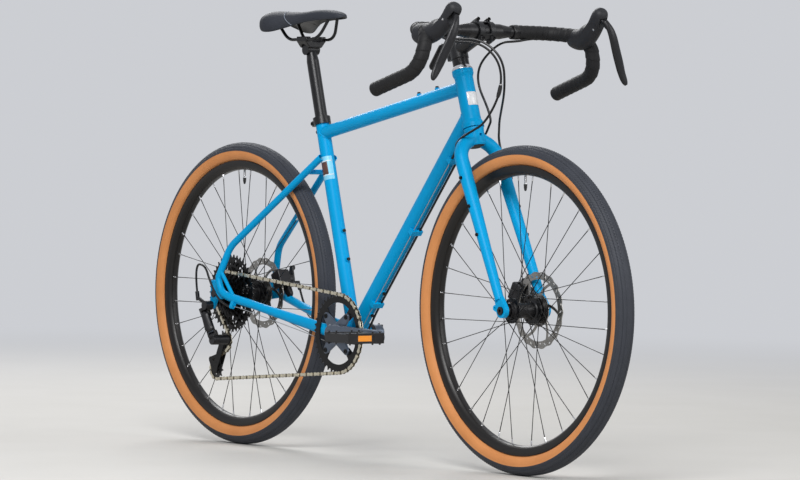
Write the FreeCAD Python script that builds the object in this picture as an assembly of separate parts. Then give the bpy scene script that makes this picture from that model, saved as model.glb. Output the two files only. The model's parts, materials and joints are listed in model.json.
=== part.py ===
import FreeCAD, Part
import math
import os

# Gravel bike, one solid or group of solids per subcomponent.
# Frame of the part: origin on the ground midway between the axles, X forward,
# Y to the rider's left, Z up, millimetres.

os.makedirs("parts", exist_ok=True)
V = FreeCAD.Vector
PI = math.pi

# Wheels
WHEELBASE = 1010.0
TYRE_RADIUS = 339.0
TYRE_WIDTH = 47.0
TYRE_WALL = 2.7
BEAD_RADIUS = 292.0
RIM_WIDTH = 28.0
RIM_INNER_WIDTH = 23.0
RIM_DEPTH = 20.5
SPOKE_RADIUS = 1.0
SPOKES_PER_FLANGE = 16
VALVE_RADIUS = 3.0
VALVE_REACH = 34.0

# Frame geometry
BB_DROP = 72.0
CHAIN_STAY_LENGTH = 431.0
HEAD_ANGLE = 71.5
SEAT_ANGLE = 74.1
FORK_RAKE = 49.0
FORK_LENGTH = 410.0
HEAD_TUBE_LENGTH = 126.5
HEAD_TUBE_RADIUS = 19.5
HEAD_RING_RADIUS = 22.4
SEAT_TUBE_LENGTH = 485.0
SEAT_TUBE_RADIUS = 15.0
TOP_TUBE_RADIUS = 14.3
TOP_TUBE_AT_HEAD = 90.5
TOP_TUBE_AT_SEAT = 450.0
DOWN_TUBE_RADIUS = 17.8
DOWN_TUBE_AT_HEAD = 29.4
TUBE_WALL = 1.1
SEAT_STAY_RADIUS = 7.6
SEAT_STAY_AT_SEAT = 395.0
SHELL_WIDTH = 68.0
SHELL_RADIUS = 20.0
DROPOUT_GAP = 142.0
DROPOUT_THICK = 8.0

# Cockpit
STEERER_RADIUS = 14.3
HEADSET_COVER = 9.0
SPACER_HEIGHT = 16.0
STEM_HEIGHT = 40.0
STEM_LENGTH = 90.0
STEM_RISE = 11.0
BAR_CLAMP_RADIUS = 15.9
BAR_RADIUS = 11.9
TAPE_RADIUS = 15.6
BAR_TOP_HALF = 180.0
BAR_REACH = 92.0
BAR_DROP = 125.0
BAR_HOOK_HALF = 213.0
BAR_END_HALF = 239.0
BAR_END_BACK = 49.0
LEVER_LENGTH = 137.0

# Drive
CRANK_LENGTH = 170.0
CRANK_ANGLE = 0.0
CHAINLINE = 44.0
RING_TEETH = 42
COGS = [11, 13, 15, 18, 21, 24, 28, 34, 42]
COG_IN_USE = 5
COG_PITCH = 4.34
PULLEY_TEETH = 11
CHAIN_PITCH = 12.7
ROLLER_RADIUS = 3.85
PEDAL_WIDTH = 94.0
PEDAL_DEPTH = 84.0
PEDAL_TILT_RIGHT = 0.0
PEDAL_TILT_LEFT = 0.0

# Brakes
ROTOR_RADIUS = 80.0
ROTOR_THICK = 1.8
HUB_WIDTH_FRONT = 100.0
AXLE_RADIUS = 6.0

# Seat
POST_RADIUS = 13.6
POST_TOP = 640.0
SADDLE_LENGTH = 251.0
SADDLE_HALF_WIDTH = 67.0
SADDLE_TOP = 970.0

# Cables
HOUSING_RADIUS = 2.5
WIRE_RADIUS = 0.8

# Clearances
RUN = 0.06
GAP = 0.3

YAX = V(0, 1, 0)
ORIGIN = V(0, 0, 0)


def unit(v):
    w = V(v)
    w.normalize()
    return w


def cyl(a, b, r):
    d = b - a
    return Part.makeCylinder(r, d.Length, a, d)


def cone(a, b, ra, rb):
    d = b - a
    if abs(ra - rb) < 1e-6:
        return cyl(a, b, ra)
    return Part.makeCone(ra, rb, d.Length, a, d)


def ring(a, b, outer, inner):
    d = unit(b - a)
    return cyl(a, b, outer).cut(cyl(a - d, b + d, inner))


def line(a, b):
    return Part.LineSegment(a, b).toShape()


def arc(a, b, c):
    return Part.Arc(a, b, c).toShape()


def fuse(shapes):
    if len(shapes) == 1:
        return shapes[0]
    return shapes[0].multiFuse(shapes[1:]).removeSplitter()


def turned(profile):
    # Turn a list of (y, radius) points about the Y axis.
    pts = [V(0, y, r) for y, r in profile]
    pts.append(pts[0])
    return Part.Face(Part.makePolygon(pts)).revolve(ORIGIN, YAX, 360)


def put(shape, point, axis=YAX):
    # Carry a shape made about the Y axis to a point, with Y along axis.
    out = shape.copy()
    turn = FreeCAD.Rotation(YAX, axis)
    out.Placement = FreeCAD.Placement(point, turn).multiply(out.Placement)
    return out


def slab(p, rp, q, rq, normal, low, high):
    # Plate with two round ends joined by their outer tangents.
    ex = unit(q - p)
    ez = unit(normal)
    ey = ez.cross(ex)
    turn = math.acos((rp - rq) / (q - p).Length)

    def at(c, r, a):
        return c + ex * (r * math.cos(a)) + ey * (r * math.sin(a))

    p1, p2, p3 = at(p, rp, turn), at(p, rp, PI), at(p, rp, -turn)
    q1, q2, q3 = at(q, rq, -turn), at(q, rq, 0), at(q, rq, turn)
    wire = Part.Wire([arc(p1, p2, p3), line(p3, q1), arc(q1, q2, q3), line(q3, p1)])
    face = Part.Face(wire)
    face.translate(ez * low)
    return face.extrude(ez * (high - low))


def block(c, ex, ey, x, y, z):
    # Box on the axes ex, ey and ex x ey, each with its own low and high limit.
    ez = ex.cross(ey)
    pts = []
    for a, b in ((x[0], y[0]), (x[1], y[0]), (x[1], y[1]), (x[0], y[1])):
        pts.append(c + ex * a + ey * b + ez * z[0])
    pts.append(pts[0])
    return Part.Face(Part.makePolygon(pts)).extrude(ez * (z[1] - z[0]))


def rounded(shape, r):
    try:
        out = shape.makeFillet(r, shape.Edges)
        if out.isValid() and out.Volume > 0:
            return out
    except Exception:
        pass
    return shape


def route(points, bends):
    # Straight runs joined by tangent arcs of the given radii, tighter only where a run is too short.
    edges = []
    start = points[0]
    last = len(points) - 1
    for i in range(1, last):
        corner = points[i]
        a = unit(points[i - 1] - corner)
        b = unit(points[i + 1] - corner)
        half = a.getAngle(b) / 2
        room_a = (points[i - 1] - corner).Length * (0.95 if i == 1 else 0.49)
        room_b = (points[i + 1] - corner).Length * (0.95 if i == last - 1 else 0.49)
        r = min(bends[i - 1], min(room_a, room_b) * math.tan(half))
        reach = r / math.tan(half)
        s = corner + a * reach
        e = corner + b * reach
        m = corner + unit(a + b) * (r / math.sin(half) - r)
        if (s - start).Length > 1e-4:
            edges.append(line(start, s))
        edges.append(arc(s, m, e))
        start = e
    edges.append(line(start, points[-1]))
    return Part.Wire(edges)


def pipe(path, outer, inner=0.0):
    # Round bar or tube along a path.
    edge = path.Edges[0]
    first = edge.FirstParameter
    start = edge.valueAt(first)
    tangent = edge.tangentAt(first)
    if (start - path.OrderedVertexes[0].Point).Length > 1e-4:
        start = path.OrderedVertexes[0].Point
        tangent = edge.tangentAt(edge.LastParameter) * -1
    wires = [Part.Wire(Part.makeCircle(outer, start, tangent))]
    body = path.makePipeShell(wires, True, False)
    if inner > 0:
        hole = [Part.Wire(Part.makeCircle(inner, start, tangent))]
        body = body.cut(path.makePipeShell(hole, True, False))
    return body


def oval(centre, tangent, side, a, b):
    # Ellipse normal to tangent, half width a along side and b along the other.
    t = unit(tangent)
    s = unit(side - t * side.dot(t))
    n = t.cross(s)
    if a >= b:
        curve = Part.Ellipse(centre + s * a, centre + n * b, centre)
    else:
        curve = Part.Ellipse(centre + n * b, centre - s * a, centre)
    return Part.Wire(curve.toShape())


def ringed(centre, tangent, side, a, b, n=12):
    # Closed smooth section with a fixed start point, for lofting.
    t = unit(tangent)
    s = unit(side - t * side.dot(t))
    u = t.cross(s)
    pts = []
    for i in range(n):
        w = 2 * PI * i / n
        pts.append(centre + s * (a * math.cos(w)) + u * (b * math.sin(w)))
    curve = Part.BSplineCurve()
    curve.interpolate(Points=pts, PeriodicFlag=True)
    return Part.Wire(curve.toShape())


def loft(wires):
    return Part.makeLoft(wires, True, False)


def save(name, shapes):
    if not isinstance(shapes, list):
        shapes = [shapes]
    solids = []
    for s in shapes:
        solids.extend(s.Solids)
    bad = [s for s in solids if not s.isValid() or s.Volume <= 0]
    out = solids[0] if len(solids) == 1 else Part.makeCompound(solids)
    out.exportStep("parts/" + name + ".step")
    vol = sum(s.Volume for s in solids) / 1000
    note = "  INVALID %d" % len(bad) if bad else ""
    print("%-22s solids %3d  %9.2f cm3%s" % (name, len(solids), vol, note))


def mirror(shape):
    return shape.mirror(ORIGIN, YAX)


# Points and directions that everything is tied to
REAR = V(-WHEELBASE / 2, 0, TYRE_RADIUS)
FRONT = V(WHEELBASE / 2, 0, TYRE_RADIUS)
BB = V(REAR.x + math.sqrt(CHAIN_STAY_LENGTH ** 2 - BB_DROP ** 2), 0, TYRE_RADIUS - BB_DROP)
HA = math.radians(HEAD_ANGLE)
SA = math.radians(SEAT_ANGLE)
UP = V(-math.cos(HA), 0, math.sin(HA))
FWD = V(math.sin(HA), 0, math.cos(HA))
HEAD = FRONT - FWD * FORK_RAKE + UP * FORK_LENGTH
SEAT = V(-math.cos(SA), 0, math.sin(SA))


def steer(f, left, h):
    return HEAD + FWD * f + YAX * left + UP * h


def seat_at(d, back=0.0, left=0.0):
    # Point d up the seat tube, and so far behind it.
    side = V(-math.sin(SA), 0, -math.cos(SA))
    return BB + SEAT * d + side * back + YAX * left


# Frame tubes
def head_tube():
    n = HEAD_TUBE_LENGTH
    r, k = HEAD_TUBE_RADIUS, HEAD_RING_RADIUS
    low = k + 1.0
    cup = STEERER_RADIUS + 5.7
    bore = STEERER_RADIUS + 2.4
    shape = turned([(0, cup), (0, low), (9, low), (17, r + 0.4), (24, r), (n - 16, r),
                    (n - 10, k - 0.6), (n - 8.5, k), (n, k), (n, cup), (n - 8, cup),
                    (n - 8, bore), (8, bore), (8, cup)])
    return put(shape, HEAD, UP)


def bearing_cups():
    n = HEAD_TUBE_LENGTH
    cup = STEERER_RADIUS + 5.7
    bore = STEERER_RADIUS + RUN
    one = turned([(0.2, bore), (0.2, cup - RUN), (7.9, cup - RUN), (7.9, bore)])
    out = [put(one, HEAD, UP), put(one, HEAD + UP * (n - 8.1), UP)]
    half = SHELL_WIDTH / 2
    wall = SHELL_RADIUS - 3.0
    spin = SPINDLE_RADIUS + RUN
    bb = turned([(half + 0.05, wall + 4.5), (half + 9, wall + 4.5), (half + 10, wall + 3.5),
                 (half + 10, spin), (half - 14, spin), (half - 14, wall - RUN),
                 (half + 0.05, wall - RUN)])
    bb = put(bb, BB)
    out.append(bb)
    out.append(mirror(bb))
    return out


SPINDLE_RADIUS = 12.0
HEAD_OUT = put(turned([(0, 0.01), (0, HEAD_RING_RADIUS + 1.0), (9, HEAD_RING_RADIUS + 1.0),
                       (17, HEAD_TUBE_RADIUS + 0.4), (24, HEAD_TUBE_RADIUS),
                       (HEAD_TUBE_LENGTH, HEAD_TUBE_RADIUS), (HEAD_TUBE_LENGTH, 0.01)]), HEAD, UP)
SHELL_OUT = cyl(BB - YAX * 60, BB + YAX * 60, SHELL_RADIUS)
SEAT_OUT = cyl(BB, seat_at(SEAT_TUBE_LENGTH), SEAT_TUBE_RADIUS)
HEAD_TT = HEAD + UP * TOP_TUBE_AT_HEAD
SEAT_TT = seat_at(TOP_TUBE_AT_SEAT)
HEAD_DT = HEAD + UP * DOWN_TUBE_AT_HEAD
DT_DIR = unit(HEAD_DT - BB)
DT_LOW = V(DT_DIR.z, 0, -DT_DIR.x)
TT_DIR = unit(HEAD_TT - SEAT_TT)
TT_TOP = V(-TT_DIR.z, 0, TT_DIR.x)
DT_LEN = (HEAD_DT - BB).Length


def biggest(shape):
    return max(shape.Solids, key=lambda s: s.Volume)


def boss(base, out, r=5.0, high=3.0, deep=3.0):
    return cyl(base - out * deep, base + out * high, r)


def bolt(base, out, r=3.6, head=3.4, shank=2.2, deep=7.0):
    body = cyl(base - out * deep, base + out * 0.02, shank)
    cap = cyl(base, base + out * head, r)
    socket = cyl(base + out * (head - 2), base + out * (head + 1), 1.5)
    return body.fuse(cap).cut(socket)


# Boss places: a point on the tube's skin and the way out
TT_BOSSES = [(SEAT_TT + TT_DIR * d + TT_TOP * TOP_TUBE_RADIUS, TT_TOP)
             for d in ((HEAD_TT - SEAT_TT).Length - 160, (HEAD_TT - SEAT_TT).Length - 96)]
ST_FRONT = V(math.sin(SA), 0, math.cos(SA))
ST_BOSSES = [(BB + SEAT * d + ST_FRONT * SEAT_TUBE_RADIUS, ST_FRONT) for d in (161, 225)]
DT_BOSSES = [(BB + DT_DIR * d + DT_LOW * DOWN_TUBE_RADIUS, DT_LOW) for d in (72, 136)]


def bossed(tube, places, bore):
    parts = [boss(p, o) for p, o in places]
    tube = fuse([tube] + parts)
    holes = [cyl(p - o * 12, p + o * 6, 2.25) for p, o in places]
    return tube.cut(Part.makeCompound(holes)).cut(bore)


def top_tube():
    r = TOP_TUBE_RADIUS
    tube = cyl(SEAT_TT, HEAD_TT, r)
    bore = cyl(SEAT_TT - TT_DIR, HEAD_TT + TT_DIR, r - TUBE_WALL)
    tube = bossed(tube, TT_BOSSES, bore)
    return biggest(tube.cut(HEAD_OUT).cut(SEAT_OUT))


GUIDES = [0.165, 0.50, 0.824]


def down_tube():
    r = DOWN_TUBE_RADIUS
    tube = cyl(BB, HEAD_DT, r)
    bore = cyl(BB - DT_DIR, HEAD_DT + DT_DIR, r - TUBE_WALL)
    bits = []
    for t in GUIDES:
        bits.append(block(BB + DT_DIR * (DT_LEN * t), DT_DIR, YAX, (-6, 6), (-14, 14),
                          (-CABLE_DROP - 4.4, 0)))
    gusset = block(HEAD_DT - DT_DIR * 54, DT_DIR, YAX, (-24, 24), (-2, 2), (-r - 5, 0))
    tube = fuse([tube] + [boss(p, o) for p, o in DT_BOSSES] + bits + [gusset])
    tube = tube.cut(Part.makeCompound([cyl(p - o * 12, p + o * 6, 2.25) for p, o in DT_BOSSES]))
    tube = tube.cut(bore)
    room = cyl(steer(0, 0, -60), HEAD, HEAD_RING_RADIUS + 1.4)
    for shape in (HEAD_OUT, SHELL_OUT, SEAT_OUT, room):
        tube = tube.cut(shape)
    brake = cyl(dt_run(20, BRAKE_SIDE, CABLE_DROP), dt_run(DT_LEN, BRAKE_SIDE, CABLE_DROP), HOUSING_RADIUS + 0.15)
    shift = cyl(dt_run(20, SHIFT_SIDE, CABLE_DROP), dt_run(DT_LEN, SHIFT_SIDE, CABLE_DROP), WIRE_RADIUS + 0.3)
    return biggest(tube.cut(brake).cut(shift))


CABLE_DROP = DOWN_TUBE_RADIUS + 2.9
BRAKE_SIDE = 8.0
SHIFT_SIDE = -9.0


def seat_tube():
    r = SEAT_TUBE_RADIUS
    tube = cyl(BB, seat_at(SEAT_TUBE_LENGTH), r)
    top = seat_at(SEAT_TUBE_LENGTH)
    tube = fuse([tube] + [boss(p, o) for p, o in ST_BOSSES])
    tube = tube.cut(Part.makeCompound([cyl(p - o * 7, p + o * 6, 2.25) for p, o in ST_BOSSES]))
    tube = tube.cut(cyl(BB, top + SEAT, POST_RADIUS + RUN))
    slot = block(top - ST_FRONT * r, SEAT, YAX, (-26, 2), (-1, 1), (-6, 6))
    return biggest(tube.cut(slot).cut(SHELL_OUT))


def seat_clamp():
    top = seat_at(SEAT_TUBE_LENGTH)
    r = SEAT_TUBE_RADIUS
    inner = r + 0.05
    low = top - SEAT * 16
    high = top + SEAT * 0.5
    body = cyl(low, high, r + 4.2)
    back = ST_FRONT * -1
    ear = block(top - SEAT * 8, SEAT, YAX, (-6, 6), (-9, 9), (-r - 11, -r + 2))
    if (ear.CenterOfMass - top).dot(back) < 0:
        ear = block(top - SEAT * 8, SEAT, YAX, (-6, 6), (-9, 9), (r - 2, r + 11))
    body = fuse([body, ear]).cut(cyl(low - SEAT, high + SEAT, inner))
    mid = top - SEAT * 8 + back * (r + 6.5)
    slit = slab(top - SEAT * 8 + back * (r - 3), 1.2, top - SEAT * 8 + back * (r + 20), 1.2, YAX, -1.2, 1.2)
    slit = block(top - SEAT * 8, SEAT, YAX, (-14, 14), (-1, 1), (0, r + 20))
    if (slit.CenterOfMass - top).dot(back) < 0:
        slit = block(top - SEAT * 8, SEAT, YAX, (-14, 14), (-1, 1), (-r - 20, 0))
    body = body.cut(slit).cut(cyl(mid - YAX * 20, mid + YAX * 20, 2.6))
    return biggest(body)


def collar_bolt():
    back = ST_FRONT * -1
    mid = seat_at(SEAT_TUBE_LENGTH) - SEAT * 8 + back * (SEAT_TUBE_RADIUS + 6.5)
    body = fuse([cyl(mid - YAX * 9, mid + YAX * 9.1, 2.5), cyl(mid - YAX * 13, mid - YAX * 9.05, 4.2)])
    return body.cut(cyl(mid - YAX * 14, mid - YAX * 11, 2.0))


def bottom_bracket_shell():
    half = SHELL_WIDTH / 2
    return ring(BB - YAX * half, BB + YAX * half, SHELL_RADIUS, SHELL_RADIUS - 3.0)


# Rear triangle
DROP_IN = DROPOUT_GAP / 2
STAY_Y = DROP_IN + 6.5
JOINT = V(REAR.x + 15, 0, REAR.z + 37)
HANGER = V(REAR.x - 12, 0, REAR.z - 27)
EYELET = V(REAR.x - 9, 0, REAR.z + 24)
BEND = V(REAR.x + 43, 0, REAR.z + 105)
STAY_TOP = seat_at(SEAT_STAY_AT_SEAT)


def seat_stay():
    p0 = STAY_TOP + YAX * 17
    p1 = V(BEND.x, STAY_Y - 11, BEND.z)
    p2 = V(JOINT.x, STAY_Y, JOINT.z)
    body = pipe(route([p0, p1, p2], [70.0]), SEAT_STAY_RADIUS)
    bore = pipe(route([p0, p1, p2], [70.0]), SEAT_STAY_RADIUS - TUBE_WALL)
    return biggest(body.cut(bore).cut(SEAT_OUT))


def chain_stay(wall=0.0):
    mid = 33.6
    start = BB.x - SHELL_RADIUS - 32
    stop = REAR.x + 50
    z_start = BB.z + 5
    z_end = REAR.z - 4.5
    root = SHELL_WIDTH / 2 - 7.4
    spots = [(V(BB.x - 5, root, BB.z), 6.4, 12.5),
             (V(BB.x - SHELL_RADIUS - 4, root, BB.z + 1.5), 6.4, 12.8)]
    for k in range(7):
        t = k / 6
        x = start + (stop - start) * t
        w = min(max((t - 0.12) / 0.88, 0), 1)
        y = mid + (STAY_Y - 2 - mid) * (w ** 1.25)
        z = z_start + (z_end - z_start) * (t ** 1.1)
        s = min(w * 1.6, 1)
        spots.append((V(x, y, z), 6.4 + 2.1 * s, 13.0 - 3.6 * s))
    spots.append((V(REAR.x + 33, STAY_Y - 0.6, REAR.z + 2), 8.3, 8.8))
    spots.append((V(REAR.x + 22.5, STAY_Y, REAR.z + 13), 8.0, 8.2))
    spots.append((V(JOINT.x + 1.2, STAY_Y, JOINT.z - 9), 7.7, 7.8))
    last = V(JOINT.x, STAY_Y, JOINT.z)
    spots.append((last, SEAT_STAY_RADIUS, SEAT_STAY_RADIUS))
    wires = []
    for i, (c, a, b) in enumerate(spots):
        if i == 0:
            t = spots[1][0] - c
        elif i == len(spots) - 1:
            t = V(JOINT.x, STAY_Y, JOINT.z) - V(BEND.x, STAY_Y - 11, BEND.z)
            t = t * -1
        else:
            t = spots[i + 1][0] - spots[i - 1][0]
        wires.append(ringed(c, t, YAX, a - wall, b - wall))
    return loft(wires)


def dropout(side):
    lo, hi = DROP_IN, DROP_IN + DROPOUT_THICK
    a = V(REAR.x, 0, REAR.z)
    bits = [slab(a, 14.5, V(JOINT.x + 1, 0, JOINT.z - 10), 9, YAX, lo, hi),
            slab(a, 14.5, V(REAR.x + 36, 0, REAR.z - 1), 9, YAX, lo, hi),
            slab(a, 13.0, EYELET, 6.2, YAX, lo, hi)]
    if side < 0:
        bits.append(slab(a, 13.0, HANGER, 8.5, YAX, lo, hi - 1))
    body = fuse(bits)
    body = body.cut(cyl(a, a + YAX * 200, AXLE_RADIUS + RUN))
    body = body.cut(cyl(EYELET, EYELET + YAX * 200, 2.1))
    if side < 0:
        body = body.cut(cyl(HANGER, HANGER + YAX * 200, 5.05))
    return body


def rear_triangle():
    ss = seat_stay()
    cs = chain_stay()
    hollow = cs.cut(chain_stay(TUBE_WALL))
    cs_clean = biggest(hollow.cut(SHELL_OUT))
    brace_a = V(JOINT.x + 6, STAY_Y - 1.5, JOINT.z + 14)
    brace_b = V(REAR.x + 66, STAY_Y - 4.5, REAR.z - 3)
    solid_ss = pipe(route([STAY_TOP + YAX * 17, V(BEND.x, STAY_Y - 11, BEND.z),
                           V(JOINT.x, STAY_Y, JOINT.z)], [70.0]), SEAT_STAY_RADIUS)
    brace = biggest(cyl(brace_a, brace_b, 4.2).cut(cs).cut(solid_ss))
    drops = {}
    for side in (1, -1):
        d = dropout(side)
        d = biggest(d.cut(cs).cut(solid_ss))
        drops[side] = d
    t = 0.16
    p0 = STAY_TOP + YAX * 17
    p1 = V(BEND.x, STAY_Y - 11, BEND.z)
    b0 = p0 + (p1 - p0) * t
    bridge = cyl(V(b0.x, -b0.y, b0.z), b0, 5.5).cut(solid_ss).cut(mirror(solid_ss))
    x = BB.x - 46
    yoke = block(V(x, 0, BB.z + 4), V(1, 0, 0), YAX, (-5, 5), (-34, 34), (-7, 7))
    yoke = biggest(yoke.cut(cs).cut(mirror(cs)))
    stays = [ss, mirror(ss), biggest(bridge)]
    chains = [cs_clean, mirror(cs_clean), brace, mirror(brace), yoke, drops[1], mirror(drops[-1])]
    return stays, chains, cs, solid_ss


# Wheels, made about the origin and moved to their axles
def yr(y, r):
    return V(0, y, r)


def tyre():
    half = TYRE_WIDTH / 2
    c = TYRE_RADIUS - half
    out_r = BEAD_RADIUS + 9.0
    out_y = math.sqrt(half ** 2 - (c - out_r) ** 2)
    ih = half - TYRE_WALL
    ic = c - 1.8
    in_r = BEAD_RADIUS + 11.0
    in_y = math.sqrt(ih ** 2 - (ic - in_r) ** 2)
    by = RIM_INNER_WIDTH / 2 - 0.3
    low = BEAD_RADIUS + 0.3
    e = [arc(yr(-out_y, out_r), yr(0, TYRE_RADIUS), yr(out_y, out_r))]
    right = [yr(out_y, out_r), yr(by, BEAD_RADIUS + 6.6), yr(by, low), yr(by - 3.8, low),
             yr(by - 3.8, BEAD_RADIUS + 7.5), yr(in_y, in_r)]
    for a, b in zip(right, right[1:]):
        e.append(line(a, b))
    e.append(arc(yr(in_y, in_r), yr(0, ic + ih), yr(-in_y, in_r)))
    left = [V(0, -p.y, p.z) for p in reversed(right)]
    for a, b in zip(left, left[1:]):
        e.append(line(a, b))
    return Part.Face(Part.Wire(e)).revolve(ORIGIN, YAX, 360)


def inner_tube():
    r = BEAD_RADIUS + 24.0
    big = Part.makeTorus(r, 17.0, ORIGIN, YAX)
    small = Part.makeTorus(r, 16.0, ORIGIN, YAX)
    stem = cyl(V(0, 0, r - 8), V(0, 0, BEAD_RADIUS - VALVE_REACH + 9), VALVE_RADIUS)
    cap = cone(V(0, 0, BEAD_RADIUS - VALVE_REACH + 9.5), V(0, 0, BEAD_RADIUS - VALVE_REACH - 4),
               VALVE_RADIUS + 0.9, VALVE_RADIUS - 0.8)
    return fuse([big, stem, cap]).cut(small)


def rim(holes):
    f = RIM_INNER_WIDTH / 2
    o = RIM_WIDTH / 2
    b = BEAD_RADIUS
    n = b + 6 - RIM_DEPTH
    outer = [(o, b + 6), (f, b + 6), (f, b), (f - 5, b), (f - 6.5, b - 3.5), (-f + 6.5, b - 3.5),
             (-f + 5, b), (-f, b), (-f, b + 6), (-o, b + 6), (-o + 1, n + 6.5), (-6, n), (6, n),
             (o - 1, n + 6.5)]
    inner = [(-f + 7.1, b - 5.1), (f - 7.1, b - 5.1), (f - 5.6, b - 1.7), (o - 2.3, b - 1.7),
             (o - 2.8, n + 7.4), (5.2, n + 1.7), (-5.2, n + 1.7), (-o + 2.8, n + 7.4),
             (-o + 2.3, b - 1.7), (-f + 5.6, b - 1.7)]
    body = turned(outer).cut(turned(inner))
    valve = cyl(V(0, 0, n - 3), V(0, 0, b + 6), VALVE_RADIUS + GAP)
    return body.cut(Part.makeCompound(holes + [valve]))


def spoke_set(flanges):
    # Three cross lacing: flanges holds (y, hole circle radius) for left and right.
    n = SPOKES_PER_FLANGE
    step = 2 * PI / n
    rim_r = BEAD_RADIUS + 6 - RIM_DEPTH
    spokes, nipples, holes, drill = [], [], [], []
    for k, (y, rf) in enumerate(flanges):
        side = 1 if y > 0 else -1
        base = step / 4 + k * step / 2
        for i in range(n):
            a = base + i * step
            lead = 1 if i % 2 == 0 else -1
            b = a + lead * 3 * step
            off = side * 4.0 if lead > 0 else -side * 2.6
            hole = V(rf * math.cos(a), y, rf * math.sin(a))
            p0 = hole - YAX * off
            p1 = hole + YAX * off
            end = V((rim_r + 3) * math.cos(b), side * 2.4, (rim_r + 3) * math.sin(b))
            spokes.append(pipe(route([p0, p1, end], [1.9]), SPOKE_RADIUS))
            d = unit(end - p1)
            nipples.append(ring(end + d * 1.5, end - d * 13.5, 2.0, SPOKE_RADIUS + RUN))
            holes.append(cyl(end + d * 2, end - d * 8, 2.3))
            drill.append(cyl(hole - YAX * 2.5, hole + YAX * 2.5, SPOKE_RADIUS + 0.25))
    return spokes, nipples, holes, drill


def rotor(y):
    # Brake rotor whose inner face lies at y.
    t = ROTOR_THICK
    r = ROTOR_RADIUS
    body = ring(V(0, y, 0), V(0, y + t, 0), r, 17.6)
    cuts = []
    for i in range(6):
        a = i * PI / 3
        w = []
        for rr, b in ((r - 16, 0.10), (r - 16, 0.47), (r - 16, 0.84), (r - 31, 1.02), (32, 1.22),
                      (30.5, 0.95), (30.5, 0.70), (32, 0.52), (r - 31, 0.28)):
            w.append(V(rr * math.cos(a + b), y - 1, rr * math.sin(a + b)))
        w.append(w[0])
        cuts.append(Part.Face(Part.makePolygon(w)).extrude(YAX * (t + 2)))
        h = V(22 * math.cos(a), y, 22 * math.sin(a))
        cuts.append(cyl(h - YAX, h + YAX * (t + 1), 2.6))
        for j, rr in ((0, r - 4.5), (0.3, r - 10.5), (0.62, r - 5.5), (0.85, r - 11)):
            c = V(rr * math.cos(a + j), y, rr * math.sin(a + j))
            cuts.append(cyl(c - YAX, c + YAX * (t + 1), 2.3))
    return biggest(body.cut(Part.makeCompound(cuts)))


def rotor_bolts(y):
    out = []
    for i in range(6):
        a = i * PI / 3
        h = V(22 * math.cos(a), y, 22 * math.sin(a))
        head = cyl(h + YAX * (ROTOR_THICK + 0.02), h + YAX * (ROTOR_THICK + 3), 4.0)
        b = head.fuse(cyl(h - YAX * 8, h + YAX * (ROTOR_THICK + 0.5), 2.4))
        out.append(b.cut(cyl(h + YAX * (ROTOR_THICK + 1.6), h + YAX * 8, 1.9)))
    return out


SLEEVE = AXLE_RADIUS + 2.6
BEARING = 13.2


def hub_shell(profile, bolt_y, drill):
    body = turned(profile).cut(Part.makeCompound(drill))
    holes = []
    for i in range(6):
        a = i * PI / 3
        h = V(22 * math.cos(a), bolt_y, 22 * math.sin(a))
        holes.append(cyl(h - YAX * 9, h + YAX, 2.45))
    return body.cut(Part.makeCompound(holes))


def bearing_at(y0, y1):
    return turned([(y0, SLEEVE + RUN), (y1, SLEEVE + RUN), (y1, BEARING - 0.05), (y0, BEARING - 0.05)])


def front_wheel():
    half = HUB_WIDTH_FRONT / 2
    face = half - 12.2
    flanges = [(22.5, 27.0), (-31.0, 23.0)]
    spokes, nipples, holes, drill = spoke_set(flanges)
    lf, rf = flanges[0][1] + 3.2, flanges[1][1] + 3.2
    b = BEARING
    prof = [(-half + 8, b), (-half + 8, b + 2.6), (-36, b + 4), (-32.4, 19), (-32.2, rf), (-29.8, rf), (-29.6, 19), (-27.5, 17),
            (0, 15.5), (19, 17.5), (21.1, 20), (21.3, lf), (23.7, lf), (23.9, 20), (26, 19.5), (30, 19.5), (31.5, 27),
            (face, 27), (face, b), (face - 9, b), (face - 9, 10.5), (-half + 17, 10.5), (-half + 17, b)]
    hub = hub_shell(prof, face, drill)
    bearings = [bearing_at(face - 8.9, face - 0.5), bearing_at(-half + 8.4, -half + 16.9)]
    out = {"tyre_front": [tyre()], "inner_tube_front": [inner_tube()], "rim_front": [rim(holes)],
           "spokes_front": spokes + nipples, "hub_front": [hub] + bearings,
           "rotor_front": [rotor(face + 0.02)] + rotor_bolts(face + 0.02)}
    return out


def rear_wheel():
    face = DROP_IN - 17.0
    flanges = [(33.0, 29.0), (-20.0, 29.0)]
    spokes, nipples, holes, drill = spoke_set(flanges)
    lf = flanges[0][1] + 3.2
    b = BEARING
    prof = [(-25, b), (-25, 21), (-21.4, 22), (-21.2, lf), (-18.8, lf), (-18.6, 22), (-16, 21), (0, 18.5), (29, 20),
            (31.6, 21), (31.8, lf), (34.2, lf), (34.4, 21), (37, 20), (42, 20), (44, 27), (face, 27), (face, b), (face - 9, b),
            (face - 9, 10.5), (-15, 10.5), (-15, b)]
    hub = hub_shell(prof, face, drill)
    bearings = [bearing_at(face - 8.9, face - 0.5), bearing_at(-24.5, -15.1)]
    out = {"tyre_rear": [tyre()], "inner_tube_rear": [inner_tube()], "rim_rear": [rim(holes)],
           "spokes_rear": spokes + nipples, "hub_rear": [hub] + bearings,
           "rotor_rear": [rotor(face + 0.02)] + rotor_bolts(face + 0.02)}
    return out


# Chain path and toothed wheels
def pitch_radius(n):
    return CHAIN_PITCH / (2 * math.sin(PI / n))


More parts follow.
